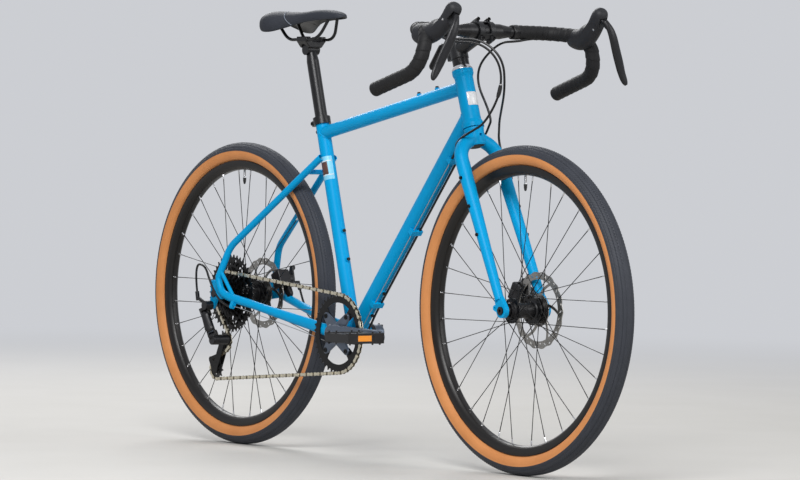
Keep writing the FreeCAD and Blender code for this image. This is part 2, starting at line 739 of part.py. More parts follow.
def chain_path(circles):
    # circles: (x, z, radius, +1 counter-clockwise or -1). Returns pieces of the loop.
    n = len(circles)
    tangents = []
    for i in range(n):
        x1, z1, r1, s1 = circles[i]
        x2, z2, r2, s2 = circles[(i + 1) % n]
        gap = math.hypot(x2 - x1, z2 - z1)
        phi = math.atan2(z2 - z1, x2 - x1)
        d = phi - math.asin((s2 * r2 - s1 * r1) / gap)
        nx, nz = -math.sin(d), math.cos(d)
        tangents.append(((x1 - s1 * r1 * nx, z1 - s1 * r1 * nz), (x2 - s2 * r2 * nx, z2 - s2 * r2 * nz)))
    pieces = []
    for i in range(n):
        a, b = tangents[i]
        pieces.append(("line", math.hypot(b[0] - a[0], b[1] - a[1]), a, b))
        x, z, r, s = circles[(i + 1) % n]
        c = tangents[(i + 1) % n][0]
        a0 = math.atan2(b[1] - z, b[0] - x)
        a1 = math.atan2(c[1] - z, c[0] - x)
        sweep = (s * (a1 - a0)) % (2 * PI)
        pieces.append(("arc", r * sweep, (x, z, r, s), a0))
    return pieces


def chain_point(pieces, s):
    total = sum(p[1] for p in pieces)
    s = s % total
    for kind, length, a, b in pieces:
        if s <= length:
            if kind == "line":
                t = s / length
                return (a[0] + (b[0] - a[0]) * t, a[1] + (b[1] - a[1]) * t)
            w = b + a[3] * s / a[2]
            return (a[0] + a[2] * math.cos(w), a[1] + a[2] * math.sin(w))
        s -= length
    return pieces[0][2]


def chain_walk(pieces, begin, count):
    # March pins along the loop at straight pitch; returns pins and how far round the last one is.
    spot = begin
    pins = []
    for i in range(count):
        x, z = chain_point(pieces, spot)
        pins.append((x, z, spot))
        lo, hi = CHAIN_PITCH * 0.98, CHAIN_PITCH * 1.12
        for k in range(40):
            mid = (lo + hi) / 2
            px, pz = chain_point(pieces, spot + mid)
            if math.hypot(px - x, pz - z) < CHAIN_PITCH:
                lo = mid
            else:
                hi = mid
        spot += (lo + hi) / 2
    return pins, spot - begin


RING_R = pitch_radius(RING_TEETH)
COG_R = pitch_radius(COGS[COG_IN_USE])
PULLEY_R = pitch_radius(PULLEY_TEETH)
PIVOT = V(REAR.x + 14, 0, REAR.z - 103)
GUIDE_REL = (-20.5, -4.5)
CAGE_LENGTH = 70.0


def cage_at(angle):
    g = (PIVOT.x + GUIDE_REL[0], PIVOT.z + GUIDE_REL[1])
    c, s = math.cos(angle), math.sin(angle)
    t = (g[0] + CAGE_LENGTH * c, g[1] + CAGE_LENGTH * s)
    return g, t


def loop_for(angle):
    g, t = cage_at(angle)
    return chain_path([(BB.x, BB.z, RING_R, 1), (REAR.x, REAR.z, COG_R, 1),
                       (g[0], g[1], PULLEY_R, -1), (t[0], t[1], PULLEY_R, 1)])


def settle_chain():
    # Turn the cage until an even number of links closes the loop.
    want = math.radians(238)
    pieces = loop_for(want)
    total = sum(p[1] for p in pieces)
    begin = pieces[0][1] + pieces[1][1] * 0.5
    rough = int(round(total / CHAIN_PITCH))
    best = None
    for count in range(rough - 6, rough + 7):
        if count % 2:
            continue

        def miss(angle):
            p = loop_for(angle)
            start = p[0][1] + p[1][1] * 0.5
            return chain_walk(p, start, count)[1] - sum(q[1] for q in p)

        grid = [math.radians(d) for d in range(205, 276, 5)]
        vals = [miss(a) for a in grid]
        for a, b, fa, fb in zip(grid, grid[1:], vals, vals[1:]):
            if fa * fb > 0:
                continue
            for k in range(36):
                m = (a + b) / 2
                fm = miss(m)
                if fa * fm <= 0:
                    b = m
                else:
                    a, fa = m, fm
            root = (a + b) / 2
            if best is None or abs(root - want) < abs(best[1] - want):
                best = (count, root)
    count, angle = best
    p = loop_for(angle)
    start = p[0][1] + p[1][1] * 0.5
    pins = chain_walk(p, start, count)[0]
    print("chain links", count, "cage angle", round(math.degrees(angle), 2))
    return pins, angle, p


PINS, CAGE_ANGLE, LOOP = settle_chain()
GUIDE_C, TENSION_C = cage_at(CAGE_ANGLE)


def phase_on(cx, cz, r):
    # Angle of a pin that rides on this pitch circle.
    best = min(PINS, key=lambda p: abs(math.hypot(p[0] - cx, p[1] - cz) - r))
    return math.atan2(best[1] - cz, best[0] - cx)


def toothed(n, phase, tip, y, thick, inner):
    # Toothed disc about the origin; gaps seat rollers at the phase angle.
    r = pitch_radius(n)
    seat = ROLLER_RADIUS + 0.25
    open_at = math.radians(62)
    edges = []
    pts = []
    for i in range(n):
        a = phase + 2 * PI * i / n
        er = V(math.cos(a), 0, math.sin(a))
        et = V(-math.sin(a), 0, math.cos(a))
        c = er * r
        s = seat * math.sin(open_at)
        h = -seat * math.cos(open_at)
        first = c - et * s + er * h
        mid = c - er * seat
        last = c + et * s + er * h
        half = 0.85 / (r + tip)
        ta = a + PI / n - half
        tb = a + PI / n + half
        t1 = V(math.cos(ta), 0, math.sin(ta)) * (r + tip)
        t2 = V(math.cos(tb), 0, math.sin(tb)) * (r + tip)
        pts.append((first, mid, last, t1, t2))
    for i in range(n):
        first, mid, last, t1, t2 = pts[i]
        nxt = pts[(i + 1) % n][0]
        edges += [arc(first, mid, last), line(last, t1), line(t1, t2), line(t2, nxt)]
    face = Part.Face(Part.Wire(edges))
    face.translate(YAX * (y - thick / 2))
    body = face.extrude(YAX * thick)
    return body.cut(cyl(V(0, y - thick, 0), V(0, y + thick, 0), inner))


def disc_holes(r, hole, count, turn, y):
    out = []
    for i in range(count):
        a = turn + 2 * PI * i / count
        c = V(r * math.cos(a), y, r * math.sin(a))
        out.append(cyl(c - YAX * 4, c + YAX * 4, hole))
    return out


def chainring():
    ang = phase_on(BB.x, BB.z, RING_R)
    y = -CHAINLINE
    body = toothed(RING_TEETH, ang, 2.4, y, 2.0, RING_R - 18)
    tabs = []
    holes = []
    for k in range(4):
        a = math.radians(CRANK_ANGLE + 45 + 90 * k)
        p = V(52 * math.cos(a), y, 52 * math.sin(a))
        q = V((RING_R - 17) * math.cos(a), y, (RING_R - 17) * math.sin(a))
        tabs.append(slab(p, 8.5, q, 11, YAX, -1.0, 1.0))
        holes.append(cyl(p - YAX * 3, p + YAX * 3, 4.1))
    body = fuse([body] + tabs).cut(Part.makeCompound(holes))
    bolts = []
    for k in range(4):
        a = math.radians(CRANK_ANGLE + 45 + 90 * k)
        p = V(52 * math.cos(a), y, 52 * math.sin(a))
        b = fuse([cyl(p + YAX * 3.0, p + YAX * 1.05, 6.2), cyl(p + YAX * 1.5, p - YAX * 6.8, 4.0),
                  cyl(p - YAX * 6.7, p - YAX * 8.2, 5.2)])
        bolts.append(b.cut(cyl(p - YAX * 6.9, p - YAX * 9, 2.4)))
    return [put(s, BB) for s in [body] + bolts]


def cassette():
    first = -CHAINLINE - COG_IN_USE * COG_PITCH
    body = 16.6
    out = []
    for i, n in enumerate(COGS):
        y = first + i * COG_PITCH
        ph = phase_on(REAR.x, REAR.z, COG_R) if i == COG_IN_USE else PI / n
        cog = toothed(n, ph, 2.3, y, 1.7, body + RUN)
        r = pitch_radius(n)
        holes = []
        if n >= 34:
            holes = disc_holes((r + 20) / 2 + 4, (r - 32) / 4.4, 8, 0.2, y)
            holes += disc_holes(r - 11, 2.6, 16, 0.2, y)
        elif n >= 21:
            holes = disc_holes((r + 17) / 2, (r - 22) / 3.4, 8, 0.2, y)
        if holes:
            cog = cog.cut(Part.makeCompound(holes))
        out.append(cog)
        if i:
            out.append(ring(V(0, y - COG_PITCH + 0.87, 0), V(0, y - 0.87, 0), body + 3.6, body + RUN))
    free = turned([(first - 1.2, SLEEVE + RUN), (first - 1.2, body), (-26.4, body), (-26.4, body + 2.0),
                   (-25.4, body + 2.0), (-25.4, SLEEVE + RUN)])
    lock = turned([(first - 0.9, body + 0.08), (first - 0.9, body + 3.0), (first - 2.2, body + 2.6),
                   (first - 2.2, SLEEVE + 3.0), (first - 1.25, SLEEVE + 3.0), (first - 1.25, body + 0.08)])
    out += [free, lock]
    return [put(s, REAR) for s in out]


def chain():
    # Inner and outer links by turns, each placed on its two pins.
    p = CHAIN_PITCH
    pin = 1.8
    a, b = ORIGIN, V(p, 0, 0)
    outer = fuse([slab(a, 4.0, b, 4.0, YAX, 2.15, 3.1), slab(a, 4.0, b, 4.0, YAX, -3.1, -2.15),
                  cyl(V(0, -3.35, 0), V(0, 3.35, 0), pin), cyl(V(p, -3.35, 0), V(p, 3.35, 0), pin)])
    inner = fuse([slab(a, 4.15, b, 4.15, YAX, 1.15, 2.05), slab(a, 4.15, b, 4.15, YAX, -2.05, -1.15),
                  cyl(V(0, -1.3, 0), V(0, 1.3, 0), ROLLER_RADIUS), cyl(V(p, -1.3, 0), V(p, 1.3, 0), ROLLER_RADIUS)])
    inner = inner.cut(Part.makeCompound([cyl(V(0, -5, 0), V(0, 5, 0), pin + RUN),
                                         cyl(V(p, -5, 0), V(p, 5, 0), pin + RUN)]))
    out = []
    n = len(PINS)
    for i in range(n):
        x0, z0, s0 = PINS[i]
        x1, z1, s1 = PINS[(i + 1) % n]
        link = (outer if i % 2 else inner).copy()
        ang = math.degrees(math.atan2(z1 - z0, x1 - x0))
        link.Placement = FreeCAD.Placement(V(x0, -CHAINLINE, z0), FreeCAD.Rotation(YAX, -ang))
        out.append(link)
    return out


# Crank and pedals
def crank_dir():
    a = math.radians(CRANK_ANGLE)
    return V(math.cos(a), 0, math.sin(a))


PEDAL_R = BB + crank_dir() * CRANK_LENGTH
PEDAL_L = BB - crank_dir() * CRANK_LENGTH
ARM_IN = 54.0
ARM_OUT = 68.0
HUB_LOW = SHELL_WIDTH / 2 + 10.6


def crankset():
    spin = SPINDLE_RADIUS
    c = BB
    arm = rounded(slab(c, 19.5, PEDAL_R, 14.2, YAX, -ARM_OUT, -ARM_IN), 3.0)
    hub = cyl(c - YAX * HUB_LOW, c - YAX * (ARM_OUT - 3), 20.5)
    legs = []
    for k in range(4):
        a = math.radians(CRANK_ANGLE + 45 + 90 * k)
        q = c + V(52 * math.cos(a), 0, 52 * math.sin(a))
        legs.append(slab(c, 19.5, q, 8.2, YAX, -CHAINLINE - 6.6, -CHAINLINE - 1.05))
    right = fuse([arm, hub] + legs)
    holes = [cyl(c - YAX * 100, c + YAX * 100, spin + 0.02), cyl(PEDAL_R - YAX * 100, PEDAL_R, 7.1)]
    for k in range(4):
        a = math.radians(CRANK_ANGLE + 45 + 90 * k)
        q = c + V(52 * math.cos(a), 0, 52 * math.sin(a))
        holes.append(cyl(q - YAX * 60, q, 4.1))
    right = right.cut(Part.makeCompound(holes))
    left = rounded(slab(c, 18.5, PEDAL_L, 14.2, YAX, ARM_IN, ARM_OUT), 3.0)
    left = fuse([left, cyl(c + YAX * HUB_LOW, c + YAX * ARM_OUT, 18.0)])
    left = left.cut(cyl(c, c + YAX * 100, spin + 0.02)).cut(cyl(PEDAL_L, PEDAL_L + YAX * 100, 7.1))
    spindle = ring(c - YAX * (ARM_OUT - 0.5), c + YAX * (ARM_OUT - 0.5), spin, spin - 3.0)
    bolt_l = fuse([cyl(c + YAX * (ARM_OUT + 2.5), c + YAX * (ARM_OUT + 0.02), 11.0),
                   cyl(c + YAX * (ARM_OUT + 0.5), c + YAX * (ARM_OUT - 9), 8.9)])
    bolt_l = bolt_l.cut(cyl(c + YAX * (ARM_OUT - 4), c + YAX * (ARM_OUT + 9), 4.2))
    cap_r = cyl(c - YAX * (ARM_OUT - 0.45), c - YAX * (ARM_OUT + 1.6), 11.5)
    return [right, left, spindle, bolt_l, cap_r]


def pedal_axles():
    out = []
    for c, s in ((PEDAL_R, -1), (PEDAL_L, 1)):
        y0 = ARM_IN + 0.5
        body = fuse([cyl(c + YAX * (s * y0), c + YAX * (s * (ARM_OUT + 0.05)), 7.0),
                     cyl(c + YAX * (s * (ARM_OUT + 0.03)), c + YAX * (s * (ARM_OUT + 9)), 8.4),
                     cyl(c + YAX * (s * (ARM_OUT + 8)), c + YAX * (s * (ARM_OUT + PEDAL_WIDTH)), 4.5)])
        out.append(body.cut(cyl(c + YAX * (s * (y0 - 1)), c + YAX * (s * (y0 + 6)), 4.0)))
    return out


def pedal(s):
    # Platform pedal about its own axle, then tilted and moved.
    y0 = ARM_OUT + 10
    y1 = y0 + PEDAL_WIDTH
    d = PEDAL_DEPTH / 2
    X = V(1, 0, 0)
    bits = [cyl(V(0, y0, 0), V(0, y1, 0), 10.5)]
    for x in (-1, 1):
        bits.append(block(ORIGIN, X, YAX, (x * d - 4.5 - x * 4.5, x * d + 4.5 - x * 4.5), (y0, y1), (-11, 11)))
    for y in (y0, (y0 + y1) / 2 - 4, y1 - 8):
        bits.append(block(ORIGIN, X, YAX, (-d + 2, d - 2), (y, y + 8), (-9, 9)))
    body = fuse(bits)
    pins = []
    for x in (-1, 1):
        for y in (y0 + 8, y0 + 27, y1 - 27, y1 - 8):
            for z in (-1, 1):
                pins.append(cyl(V(x * (d - 4.5), y, z * 10.5), V(x * (d - 4.5), y, z * 14), 2.0))
        mid = (y0 + y1) / 2
        body = body.cut(block(ORIGIN, X, YAX, sorted((x * (d - 3.4), x * (d + 1))), (mid - 21, mid + 21), (-6.5, 6.5)))
    body = fuse([body] + pins)
    body = body.cut(cyl(V(0, y0 - 1, 0), V(0, y1 - 3, 0), 4.5 + RUN))
    out = [body]
    for x in (-1, 1):
        mid = (y0 + y1) / 2
        out.append(block(ORIGIN, X, YAX, sorted((x * (d - 3.38), x * (d - 0.6))), (mid - 20.9, mid + 20.9), (-6.4, 6.4)))
    tilt = PEDAL_TILT_RIGHT if s < 0 else PEDAL_TILT_LEFT
    done = []
    for o in out:
        o = o if s > 0 else mirror(o)
        o = o.copy()
        o.Placement = FreeCAD.Placement(PEDAL_R if s < 0 else PEDAL_L, FreeCAD.Rotation(YAX, tilt)).multiply(o.Placement)
        done.append(o)
    return done


# Rear derailleur
LINK = V(24, 0, -38)
LINK_DIR = unit(LINK)
SLANT = math.radians(38)
LINK_BACK = LINK_DIR.cross(YAX)
LINK_AXIS = unit(LINK_BACK * math.cos(SLANT) + YAX * math.sin(SLANT))
LINK_SIDE = unit(LINK_AXIS.cross(LINK_DIR))
KNUCKLE_Y = -(DROP_IN + 15.0)
LINK_TOP = V(HANGER.x - 8, KNUCKLE_Y, HANGER.z - 21)
LINK_LOW = LINK_TOP + LINK
LINK_GAP = 7.0
TOPS = [LINK_TOP - LINK_SIDE * LINK_GAP, LINK_TOP + LINK_SIDE * LINK_GAP]
LOWS = [p + LINK for p in TOPS]
LINK_HALF = 6.0


def clevis(points, toward):
    # Lugs and pins that hold both links, joined to a body on the far side.
    bits = []
    for p in points:
        for s in (-1, 1):
            lo, hi = sorted((s * (LINK_HALF + GAP), s * (LINK_HALF + GAP + 3.4)))
            bits.append(slab(p, 4.2, p + toward, 4.6, LINK_AXIS, lo, hi))
        bits.append(cyl(p - LINK_AXIS * (LINK_HALF + 3.6), p + LINK_AXIS * (LINK_HALF + 3.6), 2.0))
    return bits


def derailleur_knuckle():
    out_face = -(DROP_IN + DROPOUT_THICK - 1)
    h = HANGER
    drum = cyl(h + YAX * (out_face - 0.05), h + YAX * (out_face - 20), 10.5)
    toward = LINK_DIR * -11.5
    bits = clevis(TOPS, toward)
    mid = (TOPS[0] + TOPS[1]) * 0.5 + toward
    bridge = slab(TOPS[0] + toward, 5.0, TOPS[1] + toward, 5.0, LINK_AXIS, -LINK_HALF - 3.7, LINK_HALF + 3.7)
    arm = cyl(mid, V(h.x, mid.y, h.z), 6.5)
    pin = cyl(h + YAX * (out_face - 1), h + YAX * (out_face + DROPOUT_THICK - 2), 5.0)
    horn = cyl(V(h.x - 2, out_face - 12, h.z + 2), V(h.x - 34, out_face - 13, h.z + 16), 4.2)
    barrel = cyl(V(h.x - 34, out_face - 13, h.z + 10), V(h.x - 38, out_face - 13, h.z + 30), 4.6)
    return fuse([drum, bridge, arm, pin, horn, barrel] + bits)


BARREL_TOP = V(HANGER.x - 38, -(DROP_IN + DROPOUT_THICK - 1) - 13, HANGER.z + 30)


def derailleur_link(k, thick):
    p, q = TOPS[k], LOWS[k]
    body = slab(p, 3.9, q, 3.9, LINK_AXIS, -LINK_HALF, LINK_HALF)
    for c in (p, q):
        body = body.cut(cyl(c - LINK_AXIS * 20, c + LINK_AXIS * 20, 2.0 + RUN))
    return body


def lower_knuckle():
    plate = -CHAINLINE - 7.4
    p = V(PIVOT.x, 0, PIVOT.z)
    drum = cyl(p + YAX * (plate - 0.4), p + YAX * (KNUCKLE_Y - 8), 11.0)
    toward = LINK_DIR * 11.5
    bits = clevis(LOWS, toward)
    bridge = slab(LOWS[0] + toward, 5.0, LOWS[1] + toward, 5.0, LINK_AXIS, -LINK_HALF - 3.7, LINK_HALF + 3.7)
    mid = (LOWS[0] + LOWS[1]) * 0.5 + toward
    arm = cyl(mid, V(p.x, mid.y, p.z), 7.0)
    body = fuse([drum, bridge, arm] + bits)
    return body.cut(cyl(p, p + YAX * (KNUCKLE_Y + 4), 4.0 + RUN))


def derailleur_cage():
    g = V(GUIDE_C[0], 0, GUIDE_C[1])
    t = V(TENSION_C[0], 0, TENSION_C[1])
    p = V(PIVOT.x, 0, PIVOT.z)
    y = -CHAINLINE
    d = unit(t - g)
    n = V(-d.z, 0, d.x)
    back = n if n.x < 0 else n * -1
    outer = fuse([slab(g, 9, t, 9, YAX, y - 7, y - 5.2), slab(g, 9, p, 11, YAX, y - 7, y - 5.2),
                  slab(t, 11, t + back * 24 - d * 12, 6, YAX, y - 7, y - 5.2)])
    inner = fuse([slab(g, 8, t, 9, YAX, y + 5.2, y + 7), slab(t, 11, t + back * 24 - d * 12, 6, YAX, y + 5.2, y + 7)])
    posts = [cyl(g + YAX * (y - 6), g + YAX * (y + 6), 2.5), cyl(t + YAX * (y - 6), t + YAX * (y + 6), 2.5)]
    stud = cyl(p + YAX * (y - 6), p + YAX * (KNUCKLE_Y + 5), 4.0)
    return fuse([outer, inner, stud] + posts)


def pulley(c):
    y = -CHAINLINE
    ph = phase_on(c[0], c[1], PULLEY_R)
    body = toothed(PULLEY_TEETH, ph, 2.0, y, 2.0, 2.5 + RUN)
    hub = turned([(y - 4.4, 2.5 + RUN), (y - 4.4, 6), (y + 4.4, 6), (y + 4.4, 2.5 + RUN)])
    body = body.cut(Part.makeCompound(disc_holes(12.0, 2.6, 6, 0.3, y)))
    return put(fuse([body, hub]), V(c[0], 0, c[1]))


# Fork and steering
BLADE_HALF = 49.0
BLADE_BEND = -46.0
BLADE_TOP = 14.6
BLADE_LOW = 9.6
BLADE_WALL = 1.6
TIP_HALF = HUB_WIDTH_FRONT / 2 + 6.0
LUG = 10.0


def fork_crown():
    top = HEADSET_COVER + SPACER_HEIGHT + STEM_HEIGHT + HEAD_TUBE_LENGTH - 3
    prof = [(-40, 0.01), (-40, 18.0), (-37, 19.5), (-14, 20.5), (-5, 21.5), (-1.5, 21.5), (-0.4, 19.5),
            (-0.4, STEERER_RADIUS), (top, STEERER_RADIUS), (top, 0.01)]
    body = put(turned(prof), HEAD, UP)
    body = body.cut(cyl(steer(0, 0, -6), steer(0, 0, top + 5), STEERER_RADIUS - 2.4))
    return body.cut(cyl(steer(-40, 0, -20), steer(40, 0, -20), 3.2))


def blade_line():
    k = steer(1.0, BLADE_HALF, BLADE_BEND)
    end = steer(FORK_RAKE - 3, TIP_HALF - 1, -FORK_LENGTH + 24)
    return k, end


def blade_axis_at(h):
    k, end = blade_line()
    hk = BLADE_BEND
    he = -FORK_LENGTH + 24
    return k + (end - k) * ((hk - h) / (hk - he))


def blade_radius_at(h):
    t = (BLADE_BEND - h) / (FORK_LENGTH - 24 + BLADE_BEND)
    return BLADE_TOP + (BLADE_LOW - BLADE_TOP) * min(max((t - 0.14) / 0.86, 0), 1)


FORK_BOLTS = [-112.0, -176.0, -240.0]


def fork_blade():
    k, end = blade_line()
    s = k + (end - k) * 0.14
    top = pipe(route([steer(0, 4, -20), k, s], [46.0]), BLADE_TOP)
    leg = cone(s, end, BLADE_TOP, BLADE_LOW)
    a = V(FRONT.x, 0, FRONT.z)
    lo, hi = HUB_WIDTH_FRONT / 2, HUB_WIDTH_FRONT / 2 + LUG
    q = V(end.x, 0, end.z)
    lug = slab(a, 15.0, q, 10.5, YAX, lo, hi)
    eye = steer(FORK_RAKE - 20, 0, -FORK_LENGTH + 12)
    ear = slab(eye, 6.0, V(a.x, 0, a.z), 9.0, YAX, lo, hi - 2)
    body = fuse([top, leg, lug, ear])
    drill = [cyl(a, a + YAX * 200, AXLE_RADIUS + RUN), cyl(eye, eye + YAX * 200, 2.1)]
    for h in FORK_BOLTS:
        c = blade_axis_at(h)
        drill.append(cyl(c, c + YAX * 40, 2.25))
    inner = pipe(route([steer(0, 4, -20), k, s], [46.0]), BLADE_TOP - BLADE_WALL)
    well = cone(s, s + (end - s) * 0.9, BLADE_TOP - BLADE_WALL, BLADE_LOW - BLADE_WALL + 0.5)
    body = body.cut(inner).cut(well)
    crown = put(turned([(-40, 0.01), (-40, 18.0), (-37, 19.5), (-14, 20.5), (-5, 21.5), (-1, 21.5), (-1, 0.01)]), HEAD, UP)
    body = body.cut(Part.makeCompound(drill)).cut(crown)
    return biggest(body)


def fork_bolt_list():
    out = []
    for h in FORK_BOLTS:
        c = blade_axis_at(h)
        p = c + YAX * (blade_radius_at(h) + 0.35)
        b = bolt(p, YAX)
        out += [b, mirror(b)]
    return out


STACK = HEAD_TUBE_LENGTH
STEM_LOW = STACK + HEADSET_COVER + SPACER_HEIGHT
STEM_MID = STEM_LOW + STEM_HEIGHT / 2
CLAMP = HEAD + FWD * STEM_LENGTH + UP * (STEM_MID + STEM_RISE)


def headset_spacers():
    r = STEERER_RADIUS + 0.05
    a = STACK + 0.35
    b = STACK + HEADSET_COVER
    cover = put(turned([(a, r), (a, HEAD_RING_RADIUS - 0.3), (a + 2.5, HEAD_RING_RADIUS - 0.3),
                        (b - 0.05, 18.2), (b - 0.05, r)]), HEAD, UP)
    spacer = ring(steer(0, 0, b), steer(0, 0, STEM_LOW - 0.05), 17.4, r)
    t = STEM_LOW + STEM_HEIGHT
    cap = fuse([cyl(steer(0, 0, t + 0.05), steer(0, 0, t + 4), 16.8),
                cyl(steer(0, 0, t - 2.8), steer(0, 0, t + 1), STEERER_RADIUS - 0.4)])
    cap = cap.cut(cyl(steer(0, 0, t - 10), steer(0, 0, t + 9), 3.1))
    screw = fuse([cyl(steer(0, 0, t + 4.02), steer(0, 0, t + 6.2), 5.0), cyl(steer(0, 0, t - 14), steer(0, 0, t + 5), 3.0)])
    screw = screw.cut(cyl(steer(0, 0, t + 4.8), steer(0, 0, t + 9), 2.4))
    return [cover, spacer, cap, screw]


def stem():
    lo, hi = STEM_LOW, STEM_LOW + STEM_HEIGHT
    post = cyl(steer(0, 0, lo), steer(0, 0, hi), 18.6)
    c = CLAMP
    d = unit(c - steer(0, 0, STEM_MID))
    side = d.cross(YAX)
    out_r = BAR_CLAMP_RADIUS + 4.6
    sleeve = cyl(c - YAX * 21, c + YAX * 21, out_r)
    wires = [ringed(steer(0, 0, STEM_MID), d, YAX, 14, 16.5), ringed(steer(34, 0, STEM_MID + 4), d, YAX, 15, 16),
             ringed(c - d * 9, d, YAX, 18.5, 16.5)]
    neck = loft(wires)
    ear = block(steer(-20, 0, STEM_MID), UP, YAX, (-15, 15), (-10, 10), (-6, 10))
    body = fuse([post, neck, sleeve, ear])
    body = body.cut(cyl(steer(0, 0, lo - 5), steer(0, 0, hi + 5), STEERER_RADIUS + 0.04))
    body = body.cut(cyl(c - YAX * 60, c + YAX * 60, BAR_CLAMP_RADIUS + 0.04))
    front = block(c, d, YAX, (1.0, 60), (-40, 40), (-60, 60))
    slit = block(steer(0, 0, STEM_MID), FWD, YAX, (-60, 0), (-1, 1), (-40, 40))
    body = biggest(body.cut(front).cut(slit))
    bolts = []
    posts = []
    plate = cyl(c - YAX * 21, c + YAX * 21, out_r).cut(cyl(c - YAX * 60, c + YAX * 60, BAR_CLAMP_RADIUS + 0.04))
    for z in (-1, 1):
        for y in (-14, 14):
            p = c + side * (z * (out_r + 1.6)) + YAX * y
            posts.append(cyl(p - d * 12, p + d * 11, 4.4))
            bolts.append(fuse([cyl(p - d * 11, p + d * 11.05, 2.2), cyl(p + d * 11.02, p + d * 14.4, 3.9)])
                         .cut(cyl(p + d * 12.6, p + d * 20, 1.9)))
    shafts = Part.makeCompound([cyl(c + side * (z * (out_r + 1.6)) + YAX * y - d * 30,
                                    c + side * (z * (out_r + 1.6)) + YAX * y + d * 30, 2.25)
                                for z in (-1, 1) for y in (-14, 14)])
    bar = cyl(c - YAX * 60, c + YAX * 60, BAR_CLAMP_RADIUS + 0.04)
    steerer = cyl(steer(0, 0, lo - 5), steer(0, 0, hi + 5), STEERER_RADIUS + 0.04)
    plate = fuse([plate] + posts).cut(bar)
    back = block(c, d, YAX, (-60, 1.0 + 1.6), (-40, 40), (-60, 60))
    window = block(c, d, YAX, (0, 60), (-8, 8), (-out_r + 7.5, out_r - 7.5))
    plate = biggest(plate.cut(back).cut(window).cut(shafts))
    body = fuse([body] + posts).cut(front).cut(bar).cut(shafts).cut(steerer).cut(slit)
    body = biggest(body)
    for h in (-9, 9):
        p = steer(-21, 0, STEM_MID + h)
        body = body.cut(cyl(p - YAX * 30, p + YAX * 30, 2.35))
        bolts.append(fuse([cyl(p - YAX * 9.9, p + YAX * 10.05, 2.2), cyl(p + YAX * 10.02, p + YAX * 13.5, 3.9)]))
    return [biggest(body), plate], bolts


def bar_points():
    c = CLAMP
    p1 = V(c.x, BAR_TOP_HALF, c.z)
    k1 = V(c.x + BAR_REACH, BAR_HOOK_HALF, c.z - 9)
    k2 = V(c.x + BAR_REACH - 6, BAR_HOOK_HALF + 19, c.z - 86)
    end = V(c.x - BAR_END_BACK, BAR_END_HALF, c.z - BAR_DROP)
    return p1, k1, k2, end


BENDS = [44.0, 38.0, 52.0]


def handlebar():
    c = CLAMP
    p1, k1, k2, end = bar_points()
    wall = 2.0
    mid = cyl(c - YAX * 42, c + YAX * 42, BAR_CLAMP_RADIUS)
    bits = [mid]
    holes = [cyl(c - YAX * 43, c + YAX * 43, BAR_RADIUS - wall)]
    for s in (1, -1):
        bits.append(cone(c + YAX * (s * 42), c + YAX * (s * 66), BAR_CLAMP_RADIUS, BAR_RADIUS))
        holes.append(cyl(c + YAX * (s * 41), c + YAX * (s * 67), BAR_RADIUS - wall))
    path = route([c + YAX * 66, p1, k1, k2, end], BENDS)
    arm = pipe(path, BAR_RADIUS)
    hole = pipe(path, BAR_RADIUS - wall)
    bits += [arm, mirror(arm)]
    body = fuse(bits)
    for h in holes + [hole, mirror(hole)]:
        body = body.cut(h)
    return biggest(body)


def hood_spots():
    p1, k1, k2, end = bar_points()
    base = p1 + (k1 - p1) * 0.66
    places = [(V(-15, 2.5, -5), 17.5, 18), (V(6, 1.5, -7), 18.5, 23), (V(36, -2, -1), 18.5, 22.5),
              (V(63, -6.5, 19), 17.5, 21.5), (V(83, -9, 37), 16.5, 18.5), (V(93, -10.5, 48), 15, 14),
              (V(97, -11, 53), 7.5, 7)]
    return [(base + o, a, b) for o, a, b in places]


def lever_pivot():
    spots = hood_spots()
    return spots[4][0] + V(9, -0.5, -2)


LEVER_TILT = math.radians(21)
LEVER_AXIS = V(0, math.cos(LEVER_TILT), math.sin(LEVER_TILT))


def lever_spots():
    p = lever_pivot()
    n = LEVER_LENGTH / 137.0
    places = [(V(9, 2.3, -6), 6.4, 5.5), (V(16, 9, -20) * n, 7.6, 5.4), (V(18.5, 15.5, -36) * n, 8.4, 5.2),
              (V(16.5, 26, -62) * n, 9.0, 4.9), (V(12, 40.5, -94) * n, 9.0, 4.6), (V(9.5, 50.5, -116) * n, 8.4, 4.5),
              (V(9, 58, -130) * n, 7.2, 4.5), (V(10, 61.5, -137) * n, 3.0, 2.6)]
    return [(p + o, a, b) for o, a, b in places]


def lever_blade():
    spots = lever_spots()
    wires = []
    for i, (c, a, b) in enumerate(spots):
        lo = spots[max(i - 1, 0)][0]
        hi = spots[min(i + 1, len(spots) - 1)][0]
        wires.append(ringed(c, hi - lo, LEVER_AXIS, a, b, 10))
    p = lever_pivot()
    blade = loft(wires)
    boss_ = cyl(p - LEVER_AXIS * 6.6, p + LEVER_AXIS * 6.6, 5.8)
    tail = spots[1][0] - LEVER_AXIS * (spots[1][0] - p).dot(LEVER_AXIS)
    neck = slab(p, 5.3, p + (tail - p) * 0.8, 4.0, LEVER_AXIS, -5.7, 5.7)
    body = fuse([blade, boss_, neck])
    return body.cut(cyl(p - LEVER_AXIS * 30, p + LEVER_AXIS * 30, 2.5 + RUN))


def bar_sweep(r):
    c = CLAMP
    p1, k1, k2, end = bar_points()
    return pipe(route([c + YAX * 66, p1, k1, k2, end], BENDS), r)


